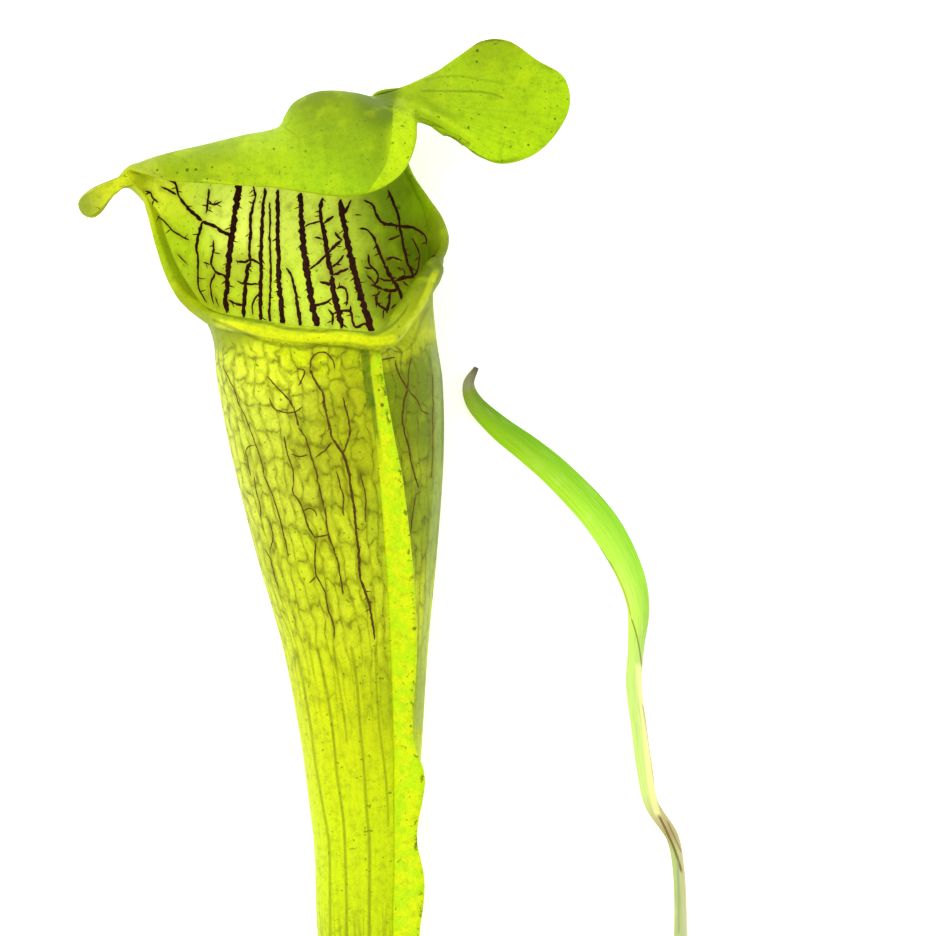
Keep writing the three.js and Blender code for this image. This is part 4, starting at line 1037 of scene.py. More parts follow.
LEFT_RIBS = WING_RIBS[1:] + LIP_RIBS + LEFT_FLANK + tongue_ribs()
RIBS = LEFT_RIBS + hood_ribs(FLAP + STRIP) + paddle_ribs() + RIGHT_FLANK + WING_RIBS[:1]
RIB_ANGLES = np.array([r["angle"] for r in RIBS])


def bead_start(radius):
    """Where the bead of a margin leaves the wall: its angle, and its distance from the margin."""
    angle = -np.arccos((WALL - radius) / radius)
    return angle, radius * (1 - np.sin(angle))


def upper_points(r):
    """A rib's points at the HOOD_LEVELS, the last one where the bead starts."""
    heights = [COLLAR] + MOUTH[: r["sections"]]
    passed = [tube_point(y, r["angle"]) for y in heights]
    through = np.vstack(passed + [np.array(p, float) for p in r["points"]])
    known = list(range(r["sections"] + 1)) + list(r["levels"])
    last = len(through) - 1
    fine = np.linspace(0, last, RIB_STEPS * last + 1)
    length = lengths(catmull(through, fine))
    end = np.interp(length[-1] - bead_start(r["radius"])[1], length, fine) / last
    by_level = np.interp(HOOD_LEVELS, known, np.arange(last + 1))
    even = np.interp(HOOD_LEVELS / TOP_LEVEL * length[-1], length, fine)
    from_front = min(abs(r["angle"]), 360 + r["angle"])
    weight = np.clip((from_front - EVEN_TO) / (LEVEL_FROM - EVEN_TO), 0, 1)
    return catmull(through, end * mix(even, by_level, weight))


def column_places(uppers):
    """Places of the columns counted in ribs, and for the wing's columns their wing section."""
    count = len(RIBS)
    gaps = np.linalg.norm(np.roll(uppers, -1, axis=1) - uppers, axis=2).max(axis=0)
    places, sections = [], []
    for k in range(count - 1):
        parts = max(2, math.ceil(gaps[k] / COLUMN_GAP))
        places += [k + i / parts for i in range(parts)]
        sections += [None] * parts
    places.append(count - 1)
    sections.append(None)
    for section in reversed(WING_SECTION):
        places.append(count - 1 + 0.5 - 0.5 * section[0] / WING_ROOT)
        sections.append(section)
    return np.array(places), sections


def smoothed(rows, rounds):
    """Evens out neighbouring rows, and keeps the first and the last."""
    for _ in range(rounds):
        inner = (rows[:-2] + 2 * rows[1:-1] + rows[2:]) / 4
        rows = np.concatenate([rows[:1], inner, rows[-1:]])
    return rows


def blur(rows, rounds):
    """Evens out neighbouring rows and columns."""
    for _ in range(rounds):
        rows = (rows * 2 + np.roll(rows, 1, 1) + np.roll(rows, -1, 1)) / 4
        rows = smoothed(rows, 1)
    return rows


def line_distance(points, lines):
    """How far each point (x, y) is from the nearest of the lines."""
    nearest = np.full(len(points), 1e9)
    for line in lines:
        line = np.asarray(line, float)
        for a, b in zip(line[:-1], line[1:]):
            along = b - a
            t = np.clip(((points - a) @ along) / max(along @ along, 1e-9), 0, 1)
            nearest = np.minimum(nearest, np.linalg.norm(points - a - t[:, None] * along, axis=1))
    return nearest


def on_plane(points):
    """Where points are seen from the camera, at the height PLANE_Z."""
    scale = (CAMERA_POINT[2] - PLANE_Z) / (CAMERA_POINT[2] - points[:, 2])
    return CAMERA_POINT[:2] + (points[:, :2] - CAMERA_POINT[:2]) * scale[:, None]


def fold_skin(upper):
    """Presses the folds into the hood's rows."""
    seen = on_plane(upper.reshape(-1, 3))
    in_front = smooth_step(*FOLD_LEVELS, HOOD_LEVELS)[:, None]
    for depth, reach, path in FOLDS:
        near = np.clip(1 - line_distance(seen, [path]) / reach, 0, 1) ** 2
        upper[..., 2] -= depth * near.reshape(upper.shape[:2]) * in_front


def pitcher_rows():
    """Rows of the pitcher's skin, and what each of its points belongs to."""
    uppers = np.stack([upper_points(r) for r in RIBS], axis=1)
    places, sections = column_places(uppers)
    tube = tube_point(TUBE_HEIGHTS[:, None], RIB_ANGLES[None, :])
    skin = catmull(np.concatenate([tube, uppers]), places, closed=True)
    margin = catmull(np.array([r["points"][-1] for r in RIBS], float), places, closed=True)
    radius = np.interp(places, np.arange(len(RIBS)), [r["radius"] for r in RIBS])
    fold_skin(skin[TUBE_ROWS:])

    ahead = np.concatenate([skin[1:], margin[None]])
    behind = np.concatenate([skin[:1], skin[:-1]])
    sideways = np.roll(skin, -1, 1) - np.roll(skin, 1, 1)
    normal = unit(blur(unit(np.cross(ahead - behind, sideways)), 3))

    # The wing, which runs out between the collar and the lip.
    outside = skin.copy()
    past = np.maximum(0, np.arange(len(skin)) - TUBE_ROWS + 1) / len(HOOD_LEVELS)
    fade = np.maximum(0, 1 - WING_FADE * past)
    gap = np.linalg.norm(skin[:, 0] - skin[:, -1 - len(WING_SECTION)], axis=1) / 2
    lean = math.radians(WING_LEAN)
    for j, section in enumerate(sections):
        if section is None:
            continue
        side, height = section
        out = normal[:, j]
        right = unit(np.cross([0, 1, 0], out))
        stand = fade * np.maximum(0, look_up(WING, np.minimum(skin[:, j, 1], COLLAR))[:, 0])
        up = out * math.cos(lean) + right * math.sin(lean)
        outside[:, j] += up * (stand * height)[:, None]
        outside[:, j] += right * (fade * side * (1 - gap / WING_ROOT))[:, None]
    outside[..., 2] = np.maximum(outside[..., 2], FLOOR)

    # The rolled edge.
    along = np.roll(margin, -1, 0) - np.roll(margin, 1, 0)
    outward = unit(np.cross(along, normal[-1]))
    outward *= np.sign(np.sum(outward * (margin - skin[-1]), axis=1))[:, None]
    outward = unit(blur(outward[None].repeat(3, 0), 2)[1])
    starts = bead_start(radius)[0]
    edge = []
    for k in range(1, EDGE_ROWS + 1):
        angle = mix(starts, math.radians(EDGE_TURN), k / EDGE_ROWS)
        away = (radius * (np.sin(angle) - 1))[:, None] * outward
        up = (radius - WALL + radius * np.cos(angle))[:, None] * normal[-1]
        edge.append(margin + away + up)

    hood = (skin[TUBE_ROWS:] - WALL * normal[TUBE_ROWS:])[::-1]
    hollow_y = np.linspace(COLLAR, CAVITY_END, HOLLOW_ROWS)
    hollow = tube_point(hollow_y[:, None], RIB_ANGLES[None, :], -WALL)
    hollow = catmull(hollow, places, closed=True)
    inside = np.concatenate([hood, hollow])
    inside[..., 2] = np.maximum(inside[..., 2], FLOOR + WALL)

    rows = np.concatenate([outside, edge, inside])
    count = len(HOOD_LEVELS)
    level = np.concatenate([
        (TUBE_HEIGHTS - COLLAR) / LEVEL_LENGTH,
        HOOD_LEVELS,
        np.full(EDGE_ROWS, TOP_LEVEL),
        HOOD_LEVELS[::-1],
        (hollow_y - COLLAR) / LEVEL_LENGTH,
    ])
    side = np.concatenate([
        np.zeros(TUBE_ROWS + count),
        np.linspace(0, 1, EDGE_ROWS),
        np.ones(count + HOLLOW_ROWS),
    ])
    angle = np.interp(places, np.arange(len(RIBS) + 1), np.append(RIB_ANGLES, RIB_ANGLES[0] - 360))
    return rows, level, side, lengths(margin), angle


def soft_spots(points, spots):
    """A colour for each point (x, y): a soft mix of the spots around it."""
    total = np.full((len(points), 1), 1e-9)
    mixed = np.zeros((len(points), 3))
    for x, y, reach, code in spots:
        away = ((points - (x, y)) ** 2).sum(1) / reach**2
        weight = (np.exp(-away) + 1e-4 / (1 + away))[:, None]
        total += weight
        mixed += weight * colour(code)
    return mixed / total


def face_normals(points, faces):
    a, b, c, d = (points[faces[:, k]] for k in range(4))
    return unit(np.cross(c - a, d - b))


def volume_sign(points, faces):
    a, b, c, d = (points[faces[:, k]] for k in range(4))
    return np.sign(np.sum(a * np.cross(b, c)) + np.sum(a * np.cross(c, d)))


def caps(first, last, width, count):
    """The three-sided faces from an end point to the first row, and from the last row to another."""
    start = (count - 1) * width
    faces = [[first, (j + 1) % width, j] for j in range(width)]
    return faces + [[last, start + j, start + (j + 1) % width] for j in range(width)]


def closed_skin(rows, first, last):
    """Points and outward faces of rows of rings closed with an end point on either side."""
    count, width = rows.shape[:2]
    points = np.concatenate([rows.reshape(-1, 3), [first, last]])
    quads = ring_faces(count, width)
    faces = quads + caps(len(points) - 2, len(points) - 1, width, count)
    if volume_sign(points, np.array(quads)) < 0:
        faces = [f[::-1] for f in faces]
    return points, faces


def pitcher_looks(points, level, side, fan, angle, share):
    """What the pitcher's material reads at each point: its place, its colour and what lies there."""
    height = points[:, 1]
    seen = on_plane(points)
    outside = 1 - side
    on_root = (share < ROOT_SHARE) * smooth_step(*ROOT_RANGE, height)
    on_wing = (share > 0) * (1 - on_root) * (1 - smooth_step(*WING_LEVELS, level)) * outside
    on_tube = (1 - on_wing) * outside
    paler = mix(1, WING_TOP, smooth_step(*WING_TOP_RANGE, height))
    wing_share = on_wing * smooth_step(*WING_RANGE, height) * paler
    skin = mix(soft_spots(seen, OUTSIDE_SPOTS), colour(WING_COLOUR), wing_share[:, None])

    inner_away = line_distance(seen, [path for _, _, path in INNER_VEINS])
    outer_away = line_distance(seen, [path for _, _, path in OUTER_VEINS])
    below_lip = (1 - smooth_step(*LIP_RANGE, seen[:, 1])) * (1 - on_wing)
    outer_shade = (1 - smooth_step(0, OUTER_SHADE, outer_away)) * below_lip
    # where the inside of the mouth shows a painted glow
    glow = side * (1 - smooth_step(*GLOW_LEVELS, level)) * smooth_step(*GLOW_RANGE, height)

    round_tube = angle / 360 * TUBE_GIRTH
    down_tube = NET_STRETCH * np.log1p(np.maximum(0, -height) / NET_STRETCH)
    return {
        "tint": mix(skin, soft_spots(seen, INSIDE_SPOTS), side[:, None]),
        "shade": np.where(side > 0.5, 1 - smooth_step(0, INNER_SHADE, inner_away), outer_shade),
        "plain": (1 - on_wing) * (side < 0.98),
        "wing": on_wing,
        "crest": (share > CREST_SHARE) * on_wing,
        "seen": np.column_stack([seen, side]),
        "far": (1 - smooth_step(*FAR_RANGE, height)) * on_tube,
        "net": on_tube * (1 - smooth_step(*NET_RANGE, height)),
        "low": 1 - smooth_step(*LOW_RANGE, height),
        "glow": glow * mix(1, RIGHT_GLOW, smooth_step(*RIGHT_RANGE, points[:, 0])),
        "level": level,
        "fan": fan,
        "hood": outside * smooth_step(*HOOD_RANGE, level),
        "place": np.stack([round_tube, height, side * INSIDE_SHIFT], -1),
        "grid": np.stack([round_tube, down_tube, 0 * round_tube], -1),
    }


def make_pitcher():
    rows, level, side, fan, angle = pitcher_rows()
    foot_x, foot_z = look_up(TUBE, STALK_END)[:2]
    end_x, end_z = look_up(TUBE, CAVITY_END)[:2]
    foot = (foot_x, STALK_END, foot_z)
    end = (end_x, CAVITY_END - CAVITY_TIP, end_z)
    points, faces = closed_skin(rows, foot, end)
    piece = new_piece("pitcher_skin", points, faces, "pitcher", "pitcher")

    count, width = rows.shape[:2]
    level = np.append(np.repeat(level, width), [level[0], level[-1]])
    side = np.append(np.repeat(side, width), [0, 1])
    fan, angle, share = (np.append(np.tile(v, count), [0, 0]) for v in (fan, angle, wing_shares(width)))
    for name, value in pitcher_looks(points, level, side, fan, angle, share).items():
        set_values(piece, name, value)

    # The faces on which veins are laid: the outside, and the hollow's wall.
    quads = np.array([f for f in faces if len(f) == 4])
    last_outside = TUBE_ROWS + len(HOOD_LEVELS)
    outer = quads[quads.max(axis=1) // width < last_outside]
    inner = quads[quads.min(axis=1) // width > last_outside + EDGE_ROWS - 2]
    return piece, Wall(points, outer), Wall(points, inner)


def wing_shares(width):
    """Each column's share of the wing's height, 0 for all that aren't on it."""
    shares = [share for _, share in reversed(WING_SECTION)]
    return np.array([0.0] * (width - len(shares)) + shares)


class Wall:
    """Faces that a line from the camera is followed to."""

    TRIES = 6
    FACING = -0.05  # faces that turn away from the camera more than this are passed through
    PAST = 0.01  # mm past such a face

    def __init__(self, points, faces):
        self.normals = face_normals(points, faces)
        self.tree = BVHTree.FromPolygons(points.tolist(), faces.tolist())

    def under(self, x, y):
        """The point and its normal seen at (x, y) on the plane, on a face turned to the camera."""
        start = Vector(CAMERA_POINT)
        way = (Vector((x, y, PLANE_Z)) - start).normalized()
        for _ in range(self.TRIES):
            spot, _, index, _ = self.tree.ray_cast(start, way)
            if spot is None:
                return None
            if self.normals[index] @ np.array(way) < self.FACING:
                return np.array(spot), self.normals[index]
            start = spot + way * self.PAST
        return None


def vein_rows(path, start_width, end_width, wall, dice):
    """Rows across one vein, half round and sunk into the wall, or None if too little of it shows."""
    flat = along_curve(np.array([(x, y, 0) for x, y in path]), VEIN_STEP)
    flat[:, :2] += smoothed(dice.normal(size=(len(flat), 2)) * VEIN_SWAY, 2)
    hits = [wall.under(x, y) for x, y, _ in flat]
    kept = [k for k, hit in enumerate(hits) if hit is not None]
    if len(kept) < VEIN_LEAST:
        return None
    share = np.array(kept) / (len(flat) - 1)
    spots = smoothed(np.array([hits[k][0] for k in kept]), 3)
    normals = unit(smoothed(np.array([hits[k][1] for k in kept]), 3))
    along = unit(np.gradient(spots, axis=0))
    across = unit(np.cross(normals, along))
    half = mix(start_width, end_width, share) / 2
    from_end = np.minimum(share, 1 - share) * len(flat) * VEIN_STEP
    ends = np.minimum(1, VEIN_TIP + VEIN_TAPER * from_end)
    uneven = dice.normal(size=(2, len(kept) + 1)) * VEIN_ROUGH
    left, right = half * ends * (1 + (uneven[:, 1:] + uneven[:, :-1]) / 2)
    rise = np.minimum(VEIN_RISE, half * VEIN_SLOPE)
    rows = []
    for s, h in VEIN_SECTION:
        reach = np.where(s < 0, left, right) * s
        up = np.where(h < 0, h, h * rise)
        rows.append(spots + across * reach[:, None] + normals * up[:, None])
    return np.stack(rows, axis=1)


def twigs(table, dice):
    """Short side shoots along the wider veins, as further rows of the table."""
    rows = []
    for start_width, end_width, path in table:
        if max(start_width, end_width) < TWIG_FROM:
            continue
        line = along_curve([(x, y, 0) for x, y in path], TWIG_GAP)
        for a, b in zip(line[:-1], line[1:]):
            if dice.random() > TWIG_SHARE:
                continue
            side = dice.choice((-1, 1))
            turn = math.atan2(b[1] - a[1], b[0] - a[0]) + side * dice.uniform(*TWIG_TURN)
            reach = start_width / 2 + dice.uniform(*TWIG_LENGTH)
            tip = (a[0] + reach * math.cos(turn), a[1] + reach * math.sin(turn))
            knee = ((a[0] + tip[0]) / 2 + dice.normal() * TWIG_KNEE, (a[1] + tip[1]) / 2)
            rows.append((*TWIG_WIDTH, [(a[0], a[1]), knee, tip]))
    return rows


def joined(parts):
    """One list of points and faces from several."""
    points, faces = [], []
    for part, part_faces in parts:
        base = len(points)
        points += np.asarray(part).tolist()
        faces += [[i + base for i in f] for f in part_faces]
    return np.array(points), faces


def make_veins(name, table, wall, seed, soft):
    """Veins laid on a wall, each wider than in its table by its soft edge."""
    dice = np.random.default_rng(seed)
    parts, widths = [], []
    table = [(start + soft, end + soft, path) for start, end, path in table]
    for start_width, end_width, path in table + twigs(table, dice):
        rows = vein_rows(path, start_width, end_width, wall, dice)
        if rows is not None:
            parts.append(closed_skin(rows, rows[0].mean(0), rows[-1].mean(0)))
            widths += [max(start_width, end_width)] * len(parts[-1][0])
    piece = new_piece(name, *joined(parts), "pitcher", "pitcher")
    set_values(piece, "thick", widths)
    return piece


# The narrow leaf


def strap_rows():
    last = len(STRAP) - 1
    place = np.linspace(0, last, STRAP_STEPS + 1)
    middle = catmull([(x, y, 0) for x, y, *_ in STRAP], place)
    width, turn, lift = look_up([(k, *row[2:]) for k, row in enumerate(STRAP)], place).T
    share = place / last
    thick = mix(STRAP_THICK, STRAP_FOOT_THICK, smooth_step(STRAP_FOOT_FROM, 1, share))
    along = unit(np.gradient(middle, axis=0))
    lean = np.radians(turn)
    side = np.stack([-along[:, 1], along[:, 0], np.zeros(len(share))], -1)
    across = side * np.cos(lean)[:, None]
    across[:, 2] -= np.sin(lean)
    up = np.cross(across, along)
    centre = middle.copy()
    centre[:, 2] = width / 2 * np.sin(lean) + thick / 2 * np.cos(lean) + lift
    angle = np.arange(STRAP_SIDES) * 2 * math.pi / STRAP_SIDES
    out = width[:, None] / 2 * np.cos(angle)
    rise = thick[:, None] / 2 * np.sin(angle) + STRAP_FOLD * width[:, None] * np.cos(angle) ** 2
    rows = centre[:, None] + across[:, None] * out[..., None] + up[:, None] * rise[..., None]
    rows[..., 2] = np.maximum(rows[..., 2], FLOOR)
    return rows, middle, angle


def make_narrow_leaf():
    rows, middle, angle = strap_rows()
    first = middle[0] * (1, 1, 0) + (0, 0, rows[0, 0, 2])
    points, faces = closed_skin(rows, first, rows[-1].mean(0))
    piece = new_piece("narrow_leaf_blade", points, faces, "narrow_leaf", "narrow_leaf")
    across = np.append(np.tile(np.cos(angle), len(rows)), [0, 0])
    height = np.append(np.repeat(middle[:, 1], STRAP_SIDES), [middle[0, 1], middle[-1, 1]])
    table = sorted(STRAP_COLOURS)
    heights = [row[0] for row in table]
    edges = []
    for k in (1, 2):
        codes = np.array([colour(row[k]) for row in table])
        edges.append(np.stack([np.interp(height, heights, codes[:, c]) for c in range(3)], -1))
    set_values(piece, "tint", mix(edges[0], edges[1], smooth_step(-0.9, 0.9, across)[:, None]))
    set_values(piece, "across", across)
    set_values(piece, "height", height)
    set_values(piece, "seen", np.column_stack([on_plane(points), np.zeros(len(points))]))
    return piece


# Tubes, roots and scales


def chance(seed):
    """An even draw from 0 to 1 that depends on its seed alone."""
    value = math.sin(seed * 12.9898) * 43758.5453
    return value - math.floor(value)


def tube_skin(line, radius, sides):
    """A closed tube round a line, with a radius for each of its points."""
    along = unit(np.gradient(line, axis=0))
    across = unit(np.cross(along, (0, 0, 1)))
    up = np.cross(across, along)
    angle = 2 * math.pi * (np.arange(sides) + 0.5) / sides
    ring = across[:, None] * np.cos(angle)[None, :, None] + up[:, None] * np.sin(angle)[None, :, None]
    rows = line[:, None] + ring * np.asarray(radius)[:, None, None]
    rows[..., 2] = np.maximum(rows[..., 2], FLOOR)
    tip = line[-1] + unit(line[-1] - line[-2]) * radius[-1]
    return closed_skin(rows, line[0], tip)


def root_path(number):
    """A root's line: out of the rhizome's side, down to the floor and away along it."""
    side = 1 if number % 2 else -1
    share = (number + 0.5) / ROOT_COUNT
    start_y = mix(*ROOT_FROM, share)
    x = look_up(sorted(RHIZOME), start_y)[0]
    length = mix(*ROOT_LENGTH, chance(number + 1))
    heading = mix(*ROOT_HEADING, share) + ROOT_SCATTER * (chance(number + 21) - 0.5)
    swing = ROOT_SWING * (chance(number + 41) - 0.5)
    reach = ROOT_OUT[1] * math.cos(math.radians(heading)) + ROOT_OUT[0]
    bend = ROOT_BEND[0] + ROOT_BEND[1] * chance(number + 61)
    path = [(x + side * ROOT_SEAT[0], start_y, ROOT_SEAT[1]), (x + side * reach, start_y - 2, bend)]
    step = length / ROOT_PARTS
    for k in range(1, ROOT_PARTS + 1):
        turn = math.radians(heading + swing * math.sin(1.3 * k))
        px, py, _ = path[-1]
        z = ROOT_LAND if k == 1 else mix(*ROOT_RADIUS, k / ROOT_PARTS) * ROOT_REST
        path.append((px + side * step * math.cos(turn), py + step * math.sin(turn), z))
    return path


def rootlet_path(start, heading, dice):
    """A short wandering line from a point of a root."""
    step = dice.uniform(*ROOTLET_LENGTH) / ROOTLET_PARTS
    path = [start]
    for k in range(ROOTLET_PARTS):
        heading += dice.normal() * ROOTLET_SWING
        px, py, _ = path[-1]
        z = ROOTLET_RADIUS[0] + 0.25 * start[2] * (k == 0)
        path.append((px + step * math.cos(heading), py + step * math.sin(heading), z))
    return path


def make_roots():
    dice = np.random.default_rng(5)
    parts = []
    for number in range(ROOT_COUNT):
        line = along_curve(root_path(number), ROOT_STEP)
        radius = mix(*ROOT_RADIUS, np.linspace(0, 1, len(line)))
        radius = radius * (1 + ROOT_WOBBLE * dice.normal(size=len(radius)))
        parts.append(tube_skin(line, radius, ROOT_SIDES))
        for k in range(ROOTLETS):
            at = int(len(line) * (0.2 + 0.65 * (k + 0.4 * dice.random()) / ROOTLETS))
            way = unit(line[at + 1] - line[at])
            turn = math.radians(dice.uniform(*ROOTLET_TURN)) * (1 if k % 2 else -1)
            path = rootlet_path(line[at], math.atan2(way[1], way[0]) + turn, dice)
            thin = along_curve(path, ROOTLET_STEP)
            parts.append(tube_skin(thin, mix(*ROOTLET_RADIUS, np.linspace(0, 1, len(thin))), ROOTLET_SIDES))
    return new_piece("roots", *joined(parts), "rhizome", "rhizome")


def make_rhizome():
    y = np.linspace(RHIZOME[0][0], RHIZOME[-1][0], RHIZOME_ROWS)
    x, half_width, half_depth = look_up(sorted(RHIZOME), y).T[:, :, None]
    y = y[:, None]
    angle = np.arange(RHIZOME_SIDES)[None, :] * 2 * math.pi / RHIZOME_SIDES
    relief = SCAR_HEIGHT * np.cos(2 * math.pi * y / SCAR_EVERY + 0.25 * np.sin(4 * angle))
    for height, round_it, down_it in RHIZOME_BUMPS:
        relief = relief + height * np.sin(round_it * angle + down_it * y)
    z = half_depth - RHIZOME_SINK + (half_depth + relief) * np.sin(angle)
    across = x + (half_width + relief) * np.cos(angle)
    rows = np.stack([across, np.broadcast_to(y, z.shape), np.maximum(z, FLOOR)], -1)
    points, faces = closed_skin(rows, rows[0].mean(0) + (0, 1, 0), rows[-1].mean(0) - (0, 1.5, 0))
    return new_piece("rhizome_body", points, faces, "rhizome", "rhizome")


def scale_skin(foot, along, radius, spread, length, facing, point, dice):
    """A thin scale leaf wrapped round a line from foot: radius at its foot and tip, half the angle it
    covers, its length, the angle it faces and how pointed it is."""
    along = unit(np.array(along, float))
    side = unit(np.cross((0, 0, 1), along))
    up = np.cross(along, side)
    across = np.linspace(-1, 1, SCALE_COLUMNS)
    down = np.linspace(0, 1, SCALE_ROWS)
    rows = []
    ragged = 1 - SCALE_RAGGED * (dice.random(len(across)) + np.cos(9 * across))
    for layer in (0.0, -SCALE_THICK):
        for t in down if layer == 0 else down[::-1]:
            taper = (1 - t**2) * (1 - point) + point * (1 - t) ** 0.75
            turn = facing + spread * across * max(taper, 0.04)
            out = mix(*radius, t) + layer + SCALE_CRINKLE * np.sin(7 * across) * t
            reach = length * t * ragged * (1 - 0.12 * across**2)
            line = np.asarray(foot) + along * reach[:, None]
            ring = side * np.cos(turn)[:, None] + up * np.sin(turn)[:, None]
            rows.append(line + ring * out[:, None])

    # Faces round the two layers, and one strip along either edge.
    points = np.array(rows)
    count, width = points.shape[:2]
    places = np.arange(count * width).reshape(count, width)
    after = np.roll(places, -1, axis=0)
    corners = [places[:, :-1], places[:, 1:], after[:, 1:], after[:, :-1]]
    faces = np.stack(corners, -1).reshape(-1, 4).tolist()
    for edge in (places[:, 0], places[::-1, -1]):
        for i in range(SCALE_ROWS - 1):
            faces.append([int(edge[k]) for k in (i, i + 1, count - 2 - i, count - 1 - i)])
    points = points.reshape(-1, 3)
    points[:, 2] = np.maximum(points[:, 2], FLOOR)
    if volume_sign(points, np.array(faces)) < 0:
        faces = [f[::-1] for f in faces]
    return points, faces


def make_scales():
    dice = np.random.default_rng(11)
    parts = []
    for foot, along, radius, spread, length, facing in SCALES:
        turn = math.radians(facing)
        wrap = math.radians(spread)
        parts.append(scale_skin(foot, along, radius, wrap, length, turn, SCALE_POINT, dice))
    return new_piece("papery_scales", *joined(parts), "rhizome", "rhizome")


def make_bud():
    dice = np.random.default_rng(3)
    length = BUD[-1][0]
    along = unit(np.array(BUD_LEAN, float))
    distance = np.linspace(0, length + BUD_TIP, BUD_ROWS)
    radius = look_up(BUD, np.minimum(distance, length))[:, 0]
    radius = radius * np.sqrt(np.clip((length + 1.5 - distance) / 3, 0, 1)).clip(0.12, 1)
    parts = [tube_skin(np.array(BUD_FOOT) + along * distance[:, None], radius, BUD_SIDES)]
    for k in range(BUD_SCALES):
        start = k * BUD_SCALE_GAP
        foot = np.array(BUD_FOOT) + along * start
        under = (look_up(BUD, start)[0], look_up(BUD, min(start + 11, length - 1))[0])
        around = [r + loose for r, loose in zip(under, BUD_SCALE_LOOSE)]
        facing = BUD_SCALE_TURN * (k + 0.5)
        look = (BUD_SCALE_WRAP, BUD_SCALE_LENGTH, facing, BUD_SCALE_POINT)
        parts.append(scale_skin(foot, along, around, *look, dice))
    return new_piece("bud", *joined(parts), "leaf_bud", "leaf_bud")


# Materials


def new_material(name, roughness, specular):
    material = bpy.data.materials.new(name)
    material.use_nodes = True
    tree = material.node_tree
    shader = tree.nodes["Principled BSDF"]
    shader.inputs["Roughness"].default_value = roughness
    shader.inputs["Specular IOR Level"].default_value = specular
    material.cycles.emission_sampling = "NONE"  # what glows here is seen, and isn't used as a lamp
    return material, tree, shader


def node(tree, kind, inputs=None, **settings):
    """A shader node with its settings, and its inputs set to values or linked to outputs."""
    made = tree.nodes.new("ShaderNode" + kind)
    for key, value in settings.items():
        setattr(made, key, value)
    for key, value in (inputs or {}).items():
        if isinstance(value, bpy.types.NodeSocket):
            tree.links.new(value, made.inputs[key])
        else:
            made.inputs[key].default_value = value
    return made


def stored(tree, name, output="Fac"):
    return node(tree, "Attribute", attribute_name=name).outputs[output]


def maths(tree, operation, *values):
    return node(tree, "Math", dict(enumerate(values)), operation=operation).outputs[0]


def times(tree, first, *others):
    """The product of two or more values."""
    for other in others:
        first = maths(tree, "MULTIPLY", first, other)
    return first


def ramp(tree, value, low, high, to_low=0.0, to_high=1.0):
    inputs = {"Value": value, "From Min": low, "From Max": high, "To Min": to_low, "To Max": to_high}
    return node(tree, "MapRange", inputs, interpolation_type="SMOOTHSTEP").outputs["Result"]


def blended(tree, share, a, b):
    """Two colours mixed; each is an output or a six-digit code."""
    inputs = {0: share}
    for key, value in ((6, a), (7, b)):
        inputs[key] = (*colour(value), 1) if isinstance(value, str) else value
    return node(tree, "Mix", inputs, data_type="RGBA").outputs[2]


def layered(tree, base, layers):
    """A colour with layers over it: each one's share from 0 to 1, its strength and its colour."""
    for share, strength, code in layers:
        base = blended(tree, times(tree, share, strength), base, code)
    return base


def scaled(tree, vector, scale):
    return node(tree, "Mapping", {"Vector": vector, "Scale": scale}, vector_type="POINT").outputs[0]


def noise(tree, vector, scale, detail=3.0, rough=0.5):
    inputs = {"Vector": vector, "Scale": scale, "Detail": detail, "Roughness": rough}
    return node(tree, "TexNoise", inputs).outputs["Fac"]


def bump(tree, shader, height, strength, distance):
    inputs = {"Height": height, "Strength": strength, "Distance": distance * MM}
    tree.links.new(node(tree, "Bump", inputs).outputs["Normal"], shader.inputs["Normal"])


def shifted(tree, vector, scale, amount):
    """A vector moved by a little noise."""
    bend = node(tree, "TexNoise", {"Vector": vector, "Scale": scale, "Detail": 2.0}).outputs["Color"]
    centred = node(tree, "VectorMath", {0: bend, 1: (-0.5, -0.5, -0.5)}, operation="ADD").outputs[0]
    move = node(tree, "VectorMath", {0: centred, 1: amount}, operation="MULTIPLY").outputs[0]
    return node(tree, "VectorMath", {0: vector, 1: move}, operation="ADD").outputs[0]


def cell_edges(tree, vector, scale):
    inputs = {"Vector": scaled(tree, vector, scale), "Scale": 1.0}
    return node(tree, "TexVoronoi", inputs, feature="DISTANCE_TO_EDGE").outputs["Distance"]


def net_away(tree, place, wide, long):
    """How far a point is from the lines of a net of rounded cells. The cells stand in columns along Y,
    and each column has its cross lines at places of its own."""
    x, y, _ = node(tree, "SeparateXYZ", {"Vector": place}).outputs
    column = maths(tree, "FLOOR", maths(tree, "DIVIDE", x, wide))
    lift = node(tree, "TexWhiteNoise", {"W": column}, noise_dimensions="1D").outputs["Value"]
    across = maths(tree, "PINGPONG", x, wide / 2)
    along = maths(tree, "PINGPONG", maths(tree, "MULTIPLY_ADD", lift, long, y), long / 2)
    return maths(tree, "SMOOTH_MIN", across, along, NET_ROUND)


def dot_share(tree, dots):
    """1 in the middle of each dot and 0 outside it."""
    seen = stored(tree, "seen", "Vector")
    total = 0.0
    for x, y, size in dots:
        away = node(tree, "VectorMath", {0: seen, 1: (x, y, 0)}, operation="DISTANCE").outputs["Value"]
        total = maths(tree, "MAXIMUM", total, ramp(tree, away, size * 0.4, size, 1.0, 0.0))
    return total


